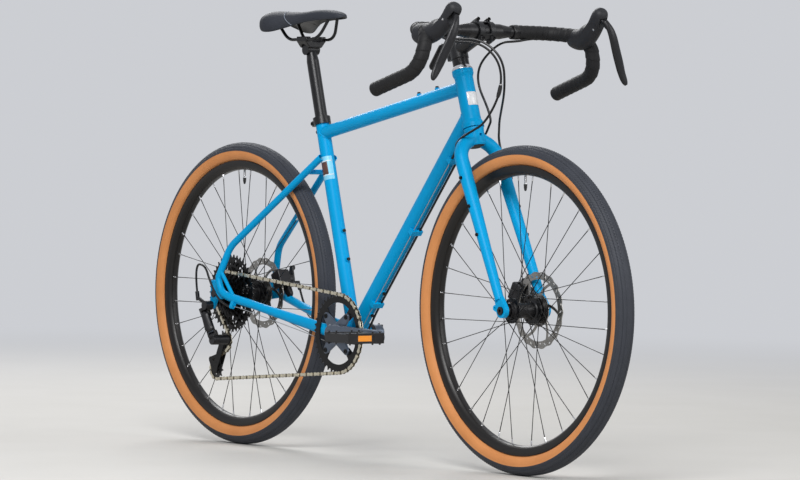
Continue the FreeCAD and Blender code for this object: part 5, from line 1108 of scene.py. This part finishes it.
def rotor_outlines():
    def arm(r):
        return 0.40 * (BAND_IN - r) / 32 - 0.053

    rim = [math.pi * i / 216 for i in range(432)]
    lines = [[polar(BAND_OUT - 1.2 + 1.2 * math.cos(WAVES * w), w) for w in rim]]
    lines.append([polar(HUB_R, math.pi * i / 24) for i in range(48)])
    step = 2 * math.pi / ARMS
    for k in range(ARMS):
        side = [BAND_IN - 3.0 * i for i in range(11)]
        left = [(r, k * step + arm(r) + 3.4 / r) for r in side]
        right = [(r, (k + 1) * step + arm(r) - 3.4 / r) for r in side]
        far = [(BAND_IN, left[0][1] + (right[0][1] - left[0][1]) * i / 12) for i in range(12)]
        near = [(side[-1], right[-1][1] + (left[-1][1] - right[-1][1]) * i / 8) for i in range(8)]
        lines.append([polar(r, w) for r, w in far + right[:-1] + near + left[:0:-1]])
    for k in range(SLOTS):
        middle, half, turn = SLOT_KINDS[k % 3]
        slot = []
        for i in range(20):
            u, v = half * math.cos(math.pi * i / 10), 1.5 * math.sin(math.pi * i / 10)
            along, out = u * math.cos(turn) - v * math.sin(turn), u * math.sin(turn) + v * math.cos(turn)
            slot.append(polar(middle + out, 2 * math.pi * k / SLOTS + along / middle))
        lines.append(slot)
    return lines


def sheet_metal(name, outlines, thick, centre, finish):
    """Flat outlines filled between and given a thickness, standing upright across the bike."""
    curve = bpy.data.curves.new(name, "CURVE")
    curve.dimensions = "2D"
    curve.fill_mode = "BOTH"
    curve.extrude = thick / 2 * MM
    for line in outlines:
        spline = curve.splines.new("POLY")
        spline.points.add(len(line) - 1)
        spline.points.foreach_set("co", [c for x, y in line for c in (x * MM, y * MM, 0.0, 1.0)])
        spline.use_cyclic_u = True
    flat = bpy.data.objects.new(name + "_flat", curve)
    bpy.context.scene.collection.objects.link(flat)
    mesh = evaluated(flat)
    bpy.data.objects.remove(flat)
    mesh.transform(Matrix.Translation(centre * MM) @ Matrix.Rotation(math.pi / 2, 4, "X"))
    mesh.materials.clear()
    mesh.materials.append(finish)
    return shown(name, mesh)


def rotor_screw():
    work = bmesh.new()
    prism(work, disc_outline(0, 4.0, 16), -0.3, 2.5)
    prism(work, disc_outline(0, 3.3, 16), 2.5, 3.0)
    return bpy.data.objects.new("rotor_screw", settled("rotor_screw", work))


SCREW, SCREW_R = rotor_screw(), 22.0
for end, (body, axle) in WHEELS.items():
    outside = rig.box("rotor_" + end)[1][1] / MM - 3.0
    centre = axle + LEFT * (outside - ROTOR_THICK / 2)
    disc = sheet_metal("rotor_" + end + "_disc", rotor_outlines(), ROTOR_THICK, centre, ROTOR_STEEL)
    belongs(disc, body, "bare_steel", "rotor_" + end)
    spots = []
    for k in range(ARMS):
        way = ray(2 * math.pi * k / ARMS)
        spots.append((axle + way * SCREW_R + LEFT * outside, LEFT, way))
    belongs(scattered("rotor_screws_" + end, SCREW, spots, BLACK_STEEL), body, "black_steel")

# %% [markdown]
# ## Derailleur
# The outer link carries a rounded cover, lofted along the link. A web with a window joins the horn
# of the cage to its arm and is cut from sheet, as the rotors are.

# %% Cover of the derailleur's outer link
link_low, link_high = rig.box("derailleur_outer_link")
LINK_MID = (Vector(link_low) + Vector(link_high)) / 2 / MM
LINK_WAY = Vector((24, 0, -38)).normalized()
LINK_PIN = joint_axis("derailleur_shift")
LINK_OUT = LINK_PIN.cross(LINK_WAY).normalized()
LINK_OUT = LINK_OUT if LINK_OUT.y < 0 else -LINK_OUT
COVER_HALF = 25.6
# places of the sections on one side of the link's middle
COVER_STEPS = (7, 13.5, 15.5, 20.5, 23.5, 25.0, COVER_HALF)


def link_cover():
    rows = []
    for s in (*(-step for step in reversed(COVER_STEPS)), 0, *COVER_STEPS):
        t = (s + COVER_HALF) / (2 * COVER_HALF)
        end = math.sqrt(max(1 - (max(abs(s) - 15.6, 0) / 10.1) ** 2, 0.03))
        half = (8.4 + 3.4 * t) * end
        foot = 3.0 if abs(s) < 15 else 5.7
        high = 6.2 + (2.8 + 2.0 * t) * end
        row = []
        for i in range(17):
            w = math.pi * i / 16
            row.append((half * math.cos(w), foot + (high - foot) * math.sin(w) ** 0.7))
        rows.append([LINK_MID + LINK_WAY * s + LINK_PIN * a + LINK_OUT * b for a, b in row])
    return rows


cover = rings("derailleur_cover", link_cover(), [CAST_BLACK], False, None, 50.0)
belongs(cover, NODES["derailleur_outer_link"]["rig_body"], "crank_grey")

# %% Web between the cage's horn and its arm
TENSION = joint_point("tension_pulley_spin")
CAGE_WAY = (TENSION - joint_point("guide_pulley_spin")).normalized()
CAGE_BACK = CAGE_WAY.cross(LEFT)
CAGE_BACK = CAGE_BACK if CAGE_BACK.x < 0 else -CAGE_BACK
WEB_EDGE = [(28, -15), (25, -18), (8, -33), (-3, -30), (-4, 0), (12, 2)]
WEB_WINDOW = [(18, -14.5), (8, -23), (8, -12)]


def web_outline(places):
    spots = [CAGE_BACK * a + CAGE_WAY * b for a, b in places]
    return [(p.x, p.z) for p in spots]


web = sheet_metal("cage_web", [web_outline(WEB_EDGE), web_outline(WEB_WINDOW)], 1.6,
                  TENSION - LEFT * 6.1, BLACK_STEEL)
belongs(web, NODES["derailleur_cage"]["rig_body"], "black_steel")

# %% [markdown]
# ## Bar tape
# Cork tape is wound on from the ends of the bar, each turn lying half over the last. The bar's
# line is rounded by a Fillet node, swept, and then every point is lifted by how far it lies across
# its turn, which gives the slanted steps of real tape.

# %% Bar line and the wrap tree
CLAMP = HEAD + AHEAD * 90.0 + UP * 182.5
TAPE_R, TAPE_STEP, TAPE_TURN, TAPE_GRAIN = 15.5, 1.2, 17.0, 1.1
# place from the clamp on the left, and the bend there
BAR_POINTS = ((0, 80, 0, 0), (0, 180, 0, 44), (92, 213, -9, 38), (86, 232, -86, 52), (-49, 239, -125, 0))


def bar_line(side):
    return [(CLAMP + Vector((x, side * y, z)), 1.0, bend) for x, y, z, bend in BAR_POINTS]


def wrap_tree():
    g = Grove("wrap", {**dict.fromkeys(("Radius", "Turn", "Step", "Hand"), "Float"), "Finish": "Material"})
    dense = {"Curve": g.rounded(24), "Length": TAPE_GRAIN * MM}
    path = g.node("GeometryNodeResampleCurve", {"mode": "LENGTH"}, dense)
    path = g.stored(path, "run", g.node("GeometryNodeSplineParameter", {}, {}, "Length"))
    tube = g.tube(path, 40, g.given("Radius"), "share")
    turns = g.named("run") / g.given("Turn") + g.named("share") * g.given("Hand")
    across = g.maths("FRACT", turns)
    edge = g.maths("MINIMUM", across * 9.0, 1.0)
    lift = (across * 0.85 - edge) * g.given("Step")
    normal = g.node("GeometryNodeInputNormal", {}, {})
    shift = g.node("ShaderNodeVectorMath", {"operation": "SCALE"}, {0: normal, "Scale": lift})
    return g.end(g.node("GeometryNodeSetPosition", {}, {"Geometry": tube, "Offset": shift}))


WRAP = wrap_tree()

# %% Tape, end plugs and finishing bands
TAPE_SIZES = {"Radius": TAPE_R * MM, "Turn": TAPE_TURN * MM, "Step": TAPE_STEP * MM, "Finish": TAPE}
PLUG = [(-1.5, 0.01), (-1.5, 15.2), (0.6, 15.2), (2.0, 14.8), (3.2, 13.6), (3.9, 11.5),
        (3.9, 6.5), (3.0, 6.0), (3.0, 0.01)]
BAND = [(-7, 11.4), (-7, 14.6), (-6.4, 15.1), (6.0, 15.9), (6.8, 15.5), (7, 14.6), (7, 11.4)]
for side, word in ((1, "left"), (-1, "right")):
    line = bar_line(side)
    tape = grown("tape_" + word, WRAP, lines([line]), {**TAPE_SIZES, "Hand": float(side)}, 50.0)
    belongs(tape, "steering", "tape", "bar_tape")
    tail = line[-1][0]
    way = (tail - line[-2][0]).normalized()
    belongs(spun("bar_plug_" + word, tail, way, PLUG, [PLASTIC], 48), "steering", "tape")
    band = spun("tape_band_" + word, CLAMP + LEFT * (side * 82), LEFT, BAND, [HOUSING], 56)
    belongs(band, "steering", "tape")
    print(tape.name, len(tape.data.polygons), "faces")

# %% [markdown]
# ## Saddle
# A road saddle is foam on a shell under a stretched vinyl cover, firm enough to hold its shape. It
# is lofted from sections along its length: a drooping nose, a narrow waist and broad wings with a
# deep skirt. A raised seam crosses the wings on a slant, with piping in a pale grey that is a painted highlight along
# it, and stitches follow the skirt.

# %% Saddle sections
saddle_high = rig.box("saddle")[1]
NOSE_X, SADDLE_TOP = saddle_high[0] / MM, saddle_high[2] / MM - 0.4
# place back from the nose, half width, drop of the top, drop of the skirt
SECTIONS = [(0, 5, 14, 17.5), (5, 11, 10.5, 19.5), (14, 15.5, 7, 20.5), (32, 18.5, 3.2, 21.5),
            (60, 20.5, 0.4, 22.5), (90, 24, 0.5, 24.5), (118, 29.5, 3.0, 28), (145, 39, 4.4, 34.5),
            (170, 51, 3.6, 41.5), (194, 62, 2, 47), (212, 66.4, 1.4, 48), (228, 64, 2.8, 46),
            (239, 57, 6, 41), (246, 47, 10, 36), (250.6, 36, 15, 31)]
# share of the half width, share of the height down from the top
HALF = [(0, 0.03), (0.14, 0.015), (0.28, 0.0), (0.44, 0.012), (0.6, 0.05), (0.74, 0.12), (0.86, 0.22),
        (0.94, 0.35), (0.985, 0.5), (1.0, 0.68), (0.985, 0.85), (0.95, 0.96), (0.9, 1.0), (0.85, 0.97),
        (0.8, 0.86), (0.66, 0.7), (0.4, 0.58), (0, 0.54)]


def between(rows, steps):
    """Smooth rows between the given ones, by a curve through them."""
    out = []
    for i in range(len(rows) - 1):
        a, b, c, d = (rows[min(max(i + k, 0), len(rows) - 1)] for k in (-1, 0, 1, 2))
        for s in range(steps):
            t = s / steps
            out.append(tuple(0.5 * (2 * q + (r - p) * t + (2 * p - 5 * q + 4 * r - w) * t * t
                                    + (3 * q - p - 3 * r + w) * t ** 3) for p, q, r, w in zip(a, b, c, d)))
    return out + [rows[-1]]


STATIONS, FLANK = between(SECTIONS, 14), between(HALF, 3)
SKIRT_FOLD, STITCH_STEP = 38, 3.6
SEAM_BACK, SEAM_LEAN, SEAM_BOW = 172.0, 28.0, 20.0


def cover_height(top, low, down):
    """Height of the cover at a share of the way down its side."""
    return SADDLE_TOP - 0.6 - top - down * (low - top)


def seam(share, down):
    """How far back from the nose the seam crosses the cover."""
    return SEAM_BACK - SEAM_LEAN * down + SEAM_BOW * max(0.8 - share, 0)


def saddle_rows():
    rows = []
    for back, wide, top, low in STATIONS:
        groove = held((back - 60) / 60) * held((240 - back) / 40)
        row = []
        for share, down in FLANK:
            away = back - seam(share, down)
            ridge = 0.5 * math.exp(-(away / 1.5) ** 2) - 0.6 * math.exp(-((away - 4) / 1.8) ** 2)
            dip = 2.2 * groove * math.exp(-(share * wide / 7.0) ** 2) if down < 0.2 else 0
            lift = ridge if down < 0.9 else 0
            y = wide * share + lift * min(share * 1.2, 1)
            z = cover_height(top, low, down) - dip + lift * (1 - share)
            row.append(Vector((NOSE_X - back, y, z)))
        rows.append(row + [Vector((p.x, -p.y, p.z)) for p in reversed(row[1:-1])])
    return rows


def saddle_side(j):
    """1 under the skirt's edge, where the bare shell shows."""
    fold = min(j + 0.5, 2 * (len(FLANK) - 1) - j - 0.5)
    return int(fold > SKIRT_FOLD)


saddle = rings("saddle_cover", saddle_rows(), [SADDLE, PLASTIC], False, saddle_side, 60.0)
belongs(saddle, "saddle", "saddle_cover", "saddle")
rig.padded(saddle, fill=0.9)
print(saddle.name, len(saddle.data.polygons), "faces")

# %% Piping along the seam, pale grey as a painted highlight


def seam_line(side):
    backs, *measures = zip(*STATIONS)
    line = []
    for share, down in FLANK:
        if share < 0.3 and down < 0.5:
            continue
        if down > 0.97:
            break
        back = seam(share, down)
        wide, top, low = (np.interp(back, backs, column) for column in measures)
        spot = Vector((NOSE_X - back, side * wide * share, cover_height(top, low, down)))
        line.append((spot, 0.9, 0))
    return line


piping = swept("saddle_piping", [seam_line(1), seam_line(-1)], PIPING_HIGHLIGHT, 8)
belongs(piping, "saddle", "saddle_cover")

# %% Stitches along the skirt


def stitch_shape():
    work = bmesh.new()
    bmesh.ops.create_uvsphere(work, u_segments=6, v_segments=4, radius=0.5 * MM)
    for v in work.verts:
        v.co.x *= 2.6
    return bpy.data.objects.new("stitch", settled("stitch", work))


def skirt_spots():
    spots = []
    for side in (1, -1):
        line = [Vector((NOSE_X - back, side * wide * 0.99, cover_height(top, low, 0.80)))
                for back, wide, top, low in STATIONS]
        left = 0.0
        for p, q in zip(line, line[1:]):
            left += (q - p).length
            if left > STITCH_STEP:
                left = 0.0
                along = (q - p).normalized()
                out = along.cross(Vector((0, 0, 1))) * side
                spots.append((q, out.normalized(), along))
    return spots


stitches = scattered("saddle_stitches", stitch_shape(), skirt_spots(), SADDLE)
belongs(stitches, "saddle", "saddle_cover")

# %% [markdown]
# ## Cables
# Brake and gear housings are springy, so they hang in smooth open curves. Each line is a B-spline
# pulled by a few control points; where a housing is clipped or wraps a tube, extra points beside
# the corner keep the bend short. Housings that cross from the bar to the frame bend with the
# steering, while the front brake's housing only turns with the fork.

# %% Lines of the cables


def corners(spots):
    """Control points; a corner with a reach is only rounded that far from it."""
    line = []
    for i, (p, reach) in enumerate(spots):
        if not reach:
            line.append(p)
            continue
        for other in (spots[i - 1][0] - p, Vector(), spots[i + 1][0] - p):
            line.append(p + other.normalized() * min(reach, other.length * 0.45))
    return line


def smooth(control, steps=10):
    """Points of a quadratic B-spline that starts and ends on its control points."""
    ends = [control[0]] + [(a + b) / 2 for a, b in zip(control[1:-2], control[2:-1])] + [control[-1]]
    line = []
    for corner, p, q in zip(control[1:-1], ends, ends[1:]):
        for i in range(steps):
            t = i / steps
            line.append(p * (1 - t) ** 2 + corner * (2 * t * (1 - t)) + q * t * t)
    return line + [control[-1]]


TUBE_TOP = HEAD + UP * 29.4
DT_WAY = (TUBE_TOP - BRACKET).normalized()
DT_LONG = (TUBE_TOP - BRACKET).length
DT_UNDER = Vector((DT_WAY.z, 0, -DT_WAY.x))
# depth of a cord under the down tube's axis, radius of a caliper from the axle, reach of its stop
CORD_DEEP, CALIPER_R, STOP_REACH = 20.7, 92.0, 33.3


def from_point(base, x, y, z):
    return Vector((base.x + x, y, base.z + z))


def route(base, *rows):
    """Places seen from a point, each with its reach; Y is counted from the middle of the bike."""
    return [(from_point(base, x, y, z), reach) for x, y, z, reach in rows]


def under_tube(along, y):
    return BRACKET + DT_WAY * along + DT_UNDER * CORD_DEEP + LEFT * y


def under_shell(y, r):
    return from_point(BRACKET, r * (1 - DT_WAY.x) / DT_WAY.z, y, -r)


def caliper_stop(axle, degrees, y):
    """End of a housing on a caliper and the way that it leaves."""
    out = ray(math.radians(degrees))
    back = Vector((out.z, 0, -out.x))
    return axle + out * CALIPER_R + LEFT * y + back * STOP_REACH, back


GUIDE = DT_LONG * 0.824
front_end, front_way = caliper_stop(FRONT, 153, 71.2)
rear_end, rear_way = caliper_stop(REAR, 26, 87.4)
shoulder = HEAD + AHEAD * 1.0 - UP * 46.0
blade_low = HEAD + AHEAD * 18.7 - UP * 180.0
FRONT_BRAKE = (route(CLAMP, (2, -134, -12.6, 0), (6, -112, -14.6, 0), (8, -90, -19, 0), (46, -40, -17, 0),
                     (88, -14, -58, 0), (82, -4, -121, 0), (4, 44, -186, 30))
               + route(shoulder, (-20, 71, 22, 26)) + route(blade_low, (-21, 64, 0, 40))
               + [(front_end + front_way * 28, 24), (front_end, 0)])
REAR_BRAKE = (route(CLAMP, (2, 132, -12.6, 0), (6, 110, -14.6, 0), (8, 88, -19, 0), (-10, 46, -22, 0),
                    (-84, 40, -86, 0))
              + route(HEAD, (12, 40, 22, 0), (-10, 40, -14, 24))
              + [(under_tube(GUIDE + 26, 8), 24), (under_tube(84, 8), 40), (under_shell(11, 24.5), 20)]
              + route(BRACKET, (-70, 22, -22.5, 0), (-122, 38, -13, 0), (-205, 45, 9, 30),
                      (-278, 74, 30, 24))
              + [(rear_end + rear_way * 26, 20), (rear_end, 0)])
SHIFT_TOP = (route(CLAMP, (8, -136, -10.2, 0), (10, -116, -14, 0), (10, -92, -25, 0), (47, -44, -24, 0),
                   (83, -19, -63, 0), (79, -10, -124, 0))
             + route(HEAD, (66, -20, 10, 0), (36, -38, -9, 0), (-6, -39, -28, 0))
             + [(under_tube(GUIDE + 24, -9), 12), (under_tube(GUIDE + 6.2, -9), 0)])
wire_stop = from_point(REAR, 73, -80, -27)
SHIFT_WIRE = ([(under_tube(GUIDE + 6, -9), 0), (under_tube(84, -9), 40), (under_shell(-10, 22.6), 18)]
              + route(BRACKET, (-70, -24, -20.6, 0), (-122, -37.5, -5, 30))
              + route(wire_stop, (20, -80, 0, 18), (-5, -80, 0, 0)))
SHIFT_LOOP = (route(wire_stop, (-5.1, -80, 0, 0), (-17, -80, 0, 0), (-42, -92, 18, 0))
              + route(REAR, (5, -94, 27, 0), (-17, -93, 64, 0), (-62, -91, 64, 0), (-50, -91, 3.1, 0)))
CORD_R, WIRE_R = 2.5, 0.8


def cord(name, spots, radius, finish):
    return swept(name, [[(p, radius, 0) for p in smooth(corners(spots))]], finish, 10)


front_line = cord("front_brake_line_0", FRONT_BRAKE, CORD_R, HOUSING)
rear_line = cord("rear_brake_line_0", REAR_BRAKE, CORD_R, HOUSING)
shift_top = cord("shift_line_0", SHIFT_TOP, CORD_R, HOUSING)
shift_wire = cord("shift_line_1", SHIFT_WIRE, WIRE_R, WIRE_STEEL)
shift_loop = cord("shift_line_2", SHIFT_LOOP, CORD_R, HOUSING)

# %% Adjuster on the gear housing, and what each cable rides on
gear_line = smooth(corners(SHIFT_TOP))
near = [p for p in gear_line if CLAMP.z - 139 < p.z < CLAMP.z - 112 and p.x > HEAD.x + 40]
barrel = [(p, 4.4 if 0 < i < len(near) - 1 else 3.4, 0) for i, p in enumerate(near)]
adjuster = swept("shift_adjuster", [barrel], PLASTIC, 14)
mouth = near[0] + (near[0] - near[1]).normalized() * 2.4
collar = swept("shift_collar", [[(mouth, 3.5, 0), (near[0], 3.5, 0)]], SILVER, 14)
belongs(front_line, "steering", "housing", "front_brake_cable")
bend_low, bend_high = (HEAD - UP * 25) * MM, (HEAD + UP * 130) * MM
for piece in (rear_line, shift_top, adjuster, collar):
    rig.blend(piece, "frame", "steering", bend_low, bend_high)
    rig.slot(piece, "housing")
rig.replaces(rear_line, "rear_brake_cable")
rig.replaces(shift_top, "shift_cable")
belongs(shift_wire, "frame", "bare_steel", "shift_cable")
belongs(shift_loop, "frame", "housing", "shift_cable")

# %% [markdown]
# ## Small things on the frame
# Tubes are welded, so a bead runs round each joint. The line of a bead is where one tube's outside
# meets the next tube, found by walking along the first tube until the second is reached.

# %% Weld beads


def meeting(foot, way, radius, other, axis, other_radius, steps=60):
    """The line on which a tube's outside first meets another tube."""
    side = way.orthogonal().normalized()
    up = way.cross(side)
    line = []
    for i in range(steps + 1):
        w = 2 * math.pi * i / steps
        p = foot + (side * math.cos(w) + up * math.sin(w)) * radius
        a = way - axis * way.dot(axis)
        b = (p - other) - axis * (p - other).dot(axis)
        half = a.dot(b)
        root = max(half * half - a.dot(a) * (b.dot(b) - other_radius ** 2), 0)
        line.append(p + way * ((-half - math.sqrt(root)) / a.dot(a)))
    return line


TOP_R, DOWN_R, SEAT_R, HEAD_R, SHELL_R = 14.3, 17.8, 15.0, 19.5, 20.0
SEAT_TT = BRACKET + SEAT_UP * 450.0
HEAD_TT = HEAD + UP * 90.5
TT_WAY = (HEAD_TT - SEAT_TT).normalized()
top_middle, down_middle = (SEAT_TT + HEAD_TT) / 2, BRACKET + DT_WAY * 300
JOINS = [(top_middle, TT_WAY, TOP_R, HEAD, UP, HEAD_R),
         (top_middle, -TT_WAY, TOP_R, BRACKET, SEAT_UP, SEAT_R),
         (down_middle, DT_WAY, DOWN_R, HEAD, UP, HEAD_R),
         (down_middle, -DT_WAY, DOWN_R, BRACKET, LEFT, SHELL_R),
         (BRACKET + SEAT_UP * 200, -SEAT_UP, SEAT_R, BRACKET, LEFT, SHELL_R)]
beads = swept("weld_beads", [[(p, 1.9, 0) for p in meeting(*join)] for join in JOINS], PAINT, 10)
belongs(beads, "frame", "paint_blue")

# %% Head badge and tube labels


def label(name, foot, axis, front, radius, half_angle, low, high, finish, thick=0.7):
    """A thin plate bent round a tube, with chamfered edges."""
    side = axis.cross(front).normalized()
    rows = []
    for i in range(25):
        a = half_angle * (i / 12 - 1)
        out = front * math.cos(a) + side * math.sin(a)
        cut = 1.2 if i in (0, 24) else 0.0
        shape = [(low + cut, -0.2), (high - cut, -0.2), (high - cut, thick * 0.6),
                 (high - cut - 0.4, thick), (low + cut + 0.4, thick), (low + cut, thick * 0.6)]
        rows.append([foot + axis * h + out * (radius + d) for h, d in shape])
    return rings(name, rows, [finish], False, None, 40.0)


belongs(label("head_badge", HEAD + UP * 60, UP, AHEAD, HEAD_R, 0.72, -14.5, 14.5, BADGE), "frame", "silver")
SEAT_FRONT = LEFT.cross(SEAT_UP).normalized()
seat_side = (SEAT_FRONT * 0.45 - LEFT).normalized()
rear_side = (SEAT_FRONT * 0.15 - LEFT).normalized()
LABELS = [(-26, 26, LABEL_BLUE, seat_side, 1.15, 0.25), (-16.5, -14.6, BADGE, seat_side, 1.1, 0.45),
          (14.6, 16.5, BADGE, seat_side, 1.1, 0.45), (-14, 14, LABEL_BROWN, rear_side, 0.6, 0.45)]
for k, (low, high, finish, front, half_angle, thick) in enumerate(LABELS):
    strip = label("seat_label_" + str(k), BRACKET + SEAT_UP * 369, SEAT_UP, front, SEAT_R, half_angle,
                  low, high, finish, thick)
    belongs(strip, "frame", "silver")
screw = [(14.2, 0.01), (14.2, 3.2), (18.5, 3.2), (18.6, 4.6), (22.6, 4.4), (23.4, 3.4), (23.4, 0.01)]
rack_screw = spun("rack_screw", BRACKET + SEAT_UP * 458, -SEAT_FRONT, screw, [BLACK_STEEL], 24)
belongs(rack_screw, "frame", "black_steel")
# A thin dark disc under the fork crown is painted shade, standing in for the dark inside of the hollow steerer.
crown_shade_profile = [(-40.5, 0.01), (-40.5, 15.5), (-39.8, 16.5), (-39.8, 0.01)]
belongs(spun("crown_hollow", HEAD, UP, crown_shade_profile, [TUBE_RUBBER], 48), "steering", "black_metal")

# %% Headset, pedal reflectors and lever screws
STACK = [
    ("headset_cover", SILVER, "silver",
     [(126.9, 14.4), (126.9, 22.1), (129.3, 22.1), (135.4, 18.2), (135.4, 14.4)]),
    ("headset_spacer", ANODISED, "black_metal",
     [(135.5, 14.4), (135.5, 17.0), (135.9, 17.4), (150.9, 17.4), (151.3, 17.0), (151.3, 14.4)]),
    ("headset_cap", ANODISED, "black_metal",
     [(191.7, 0.01), (191.7, 16.6), (194.6, 16.6), (195.4, 15.4), (195.4, 0.01)]),
    ("headset_screw", BLACK_STEEL, "black_steel",
     [(195.4, 0.01), (195.4, 5.0), (197.2, 4.7), (197.6, 4.2), (197.6, 2.4), (196.2, 2.4), (196.2, 0.01)]),
]
for name, finish, slot, shape in STACK:
    belongs(spun(name, HEAD, UP, shape, [finish], 64), "steering", slot, "headset_spacers")


def brick(name, middle, half, finish):
    """A block with softened edges about a middle."""
    work = bmesh.new()
    bmesh.ops.create_cube(work, size=2.0)
    for v in work.verts:
        v.co = (middle + v.co * half) * MM
    bmesh.ops.bevel(work, geom=work.edges, offset=0.6 * MM, segments=2, affect="EDGES")
    mesh = settled(name, work)
    mesh.materials.append(finish)
    return shown(name, mesh)


PLATE_AHEAD, PLATE_OUT, PLATE_HALF = 40.1, 131.0, Vector((1.7, 21.0, 6.6))
for word, side in (("right", -1), ("left", 1)):
    pedal = joint_point("pedal_" + word + "_spin")
    for k, end in enumerate((1, -1)):
        middle = Vector((pedal.x + end * PLATE_AHEAD, side * PLATE_OUT, pedal.z))
        plate = brick("reflector_" + word + "_" + str(k), middle, PLATE_HALF, REFLECTOR)
        belongs(plate, "pedal_" + word, "plastic")

# a lever screw sits where a ray along the lever's axis meets the hood
SCREW_FROM_PIVOT, RAY_START = Vector((-16, 0, -20)), 45.0
DOME = [(-1.5, 0.01), (-1.5, 2.6), (0.3, 2.6), (0.7, 2.0), (0.9, 0.01)]
skin = hoods.data
surface = BVHTree.FromPolygons([v.co for v in skin.vertices], [p.vertices for p in skin.polygons])
for word in ("left", "right"):
    axis = joint_axis("lever_" + word + "_pull")
    spot = joint_point("lever_" + word + "_pull") + SCREW_FROM_PIVOT
    for end, letter in ((1, "a"), (-1, "b")):
        hit = surface.ray_cast((spot + axis * (end * RAY_START)) * MM, axis * -end)[0]
        screw = spun("lever_screw_" + word + "_" + letter, hit / MM, axis * end, DOME, [SILVER], 20)
        belongs(screw, "steering", "silver")

# %% [markdown]
# ## Studio and camera
# The floor is plain and pale under an even, pale world. Of three large soft lamps the strongest
# stands in front on the right, a weak one in front on the left and one behind. The camera stands
# where the picture was taken from: far off to the right and in front of the bike, with a long lens.

# %% Floor, light and camera
scene = bpy.context.scene
scene.view_settings.view_transform = "Standard"


def lamp(name, place, aim, size, power):
    data = bpy.data.lights.new(name, "AREA")
    data.shape = "DISK"
    data.size = size
    data.energy = power
    made = bpy.data.objects.new(name, data)
    made.location = place
    made.rotation_euler = (Vector(aim) - Vector(place)).to_track_quat("-Z", "Y").to_euler()
    scene.collection.objects.link(made)


lamp("key", (3.2, -3.4, 4.2), (0, 0, 0.5), 3.0, 315)
lamp("fill", (4.5, 2.5, 2.4), (0.2, 0, 0.5), 3.0, 70)
lamp("rim", (-4.0, 1.5, 3.6), (0, 0, 0.5), 3.0, 150)

world = bpy.data.worlds.new("studio")
world.use_nodes = True
sky = world.node_tree.nodes["Background"]
sky.inputs["Color"].default_value = (0.93, 0.95, 1.0, 1.0)
scene.world = world


def seen(nodes):
    """1 for rays that show the backdrop itself or its reflection, 0 for the light that it gives."""
    path = nodes.tree.nodes.new("ShaderNodeLightPath")
    kinds = ("Is Camera Ray", "Is Glossy Ray", "Is Transmission Ray")
    rays = [Value(nodes, path.outputs[kind]) for kind in kinds]
    return nodes.maths("MAXIMUM", nodes.maths("MAXIMUM", rays[0], rays[1]), rays[2])


air = Nodes()
air.tree = world.node_tree
air.feed(sky.inputs["Strength"], 0.32 + seen(air) * 0.33)


def pale_floor():
    """A pale floor that runs out into the colour of the backdrop, so that no horizon shows."""
    f = Finish("floor_pale", {"Roughness": 0.75})
    f.set("Base Color", f.blend(f.noise(3.0, 3.0), colour(190, 188, 183), colour(200, 198, 194)))
    reach = f.node("ShaderNodeVectorMath", {"operation": "LENGTH"}, {0: f.place()}, "Value")
    far = f.node("ShaderNodeMapRange", {"interpolation_type": "SMOOTHSTEP"},
                 {"Value": reach, "From Min": 1.5, "From Max": 6.5})
    glow = f.node("ShaderNodeEmission", {}, {"Color": (0.605, 0.618, 0.65, 1.0), "Strength": 1.0})
    mix = f.node("ShaderNodeMixShader", {}, {0: far * seen(f), 1: Value(f, f.shader.outputs[0]), 2: glow})
    end = next(n for n in f.tree.nodes if n.type == "OUTPUT_MATERIAL")
    f.feed(end.inputs[0], mix)
    return f.material


FLOOR_HALF = 30.0
edge = [(x * FLOOR_HALF, y * FLOOR_HALF, 0) for x, y in ((-1, -1), (1, -1), (1, 1), (-1, 1))]
floor_mesh = bpy.data.meshes.new("floor")
floor_mesh.from_pydata(edge, [], [(0, 1, 2, 3)])
floor_mesh.materials.append(pale_floor())
floor = bpy.data.objects.new("floor", floor_mesh)
scene.collection.objects.link(floor)
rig.stage(floor)

CAMERA_AT = Vector((7.0706, -5.2497, 0.6599))
YAW, TILT, ROLL = 2.49752822, -0.0213672, 0.0135693
SENSOR, LENS = 36.0, 184.5
gaze = Vector((math.cos(TILT) * math.cos(YAW), math.cos(TILT) * math.sin(YAW), math.sin(TILT)))
level = gaze.cross(Vector((0, 0, 1))).normalized()
plumb = level.cross(gaze)
right = math.cos(ROLL) * level + math.sin(ROLL) * plumb
top = -math.sin(ROLL) * level + math.cos(ROLL) * plumb
lens = bpy.data.cameras.new("camera")
lens.lens = LENS
lens.sensor_width = SENSOR
lens.sensor_fit = "HORIZONTAL"
lens.clip_end = 100.0
camera = bpy.data.objects.new("camera", lens)
turn = Matrix((right, top, -gaze)).transposed().to_4x4()
camera.matrix_world = Matrix.Translation(CAMERA_AT) @ turn
scene.collection.objects.link(camera)
scene.camera = camera

# %% [markdown]
# ## Sizes
# The boxes of the CAD model and of the visual model are both written down.

# %% Sizes and finish
low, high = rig.bounds()
with open("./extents.json", "w") as out:
    json.dump({"cad": [list(cad_low), list(cad_high)], "visual": [list(low), list(high)]}, out)
print("cad box", cad_low, cad_high)
print("visual box", low, high)
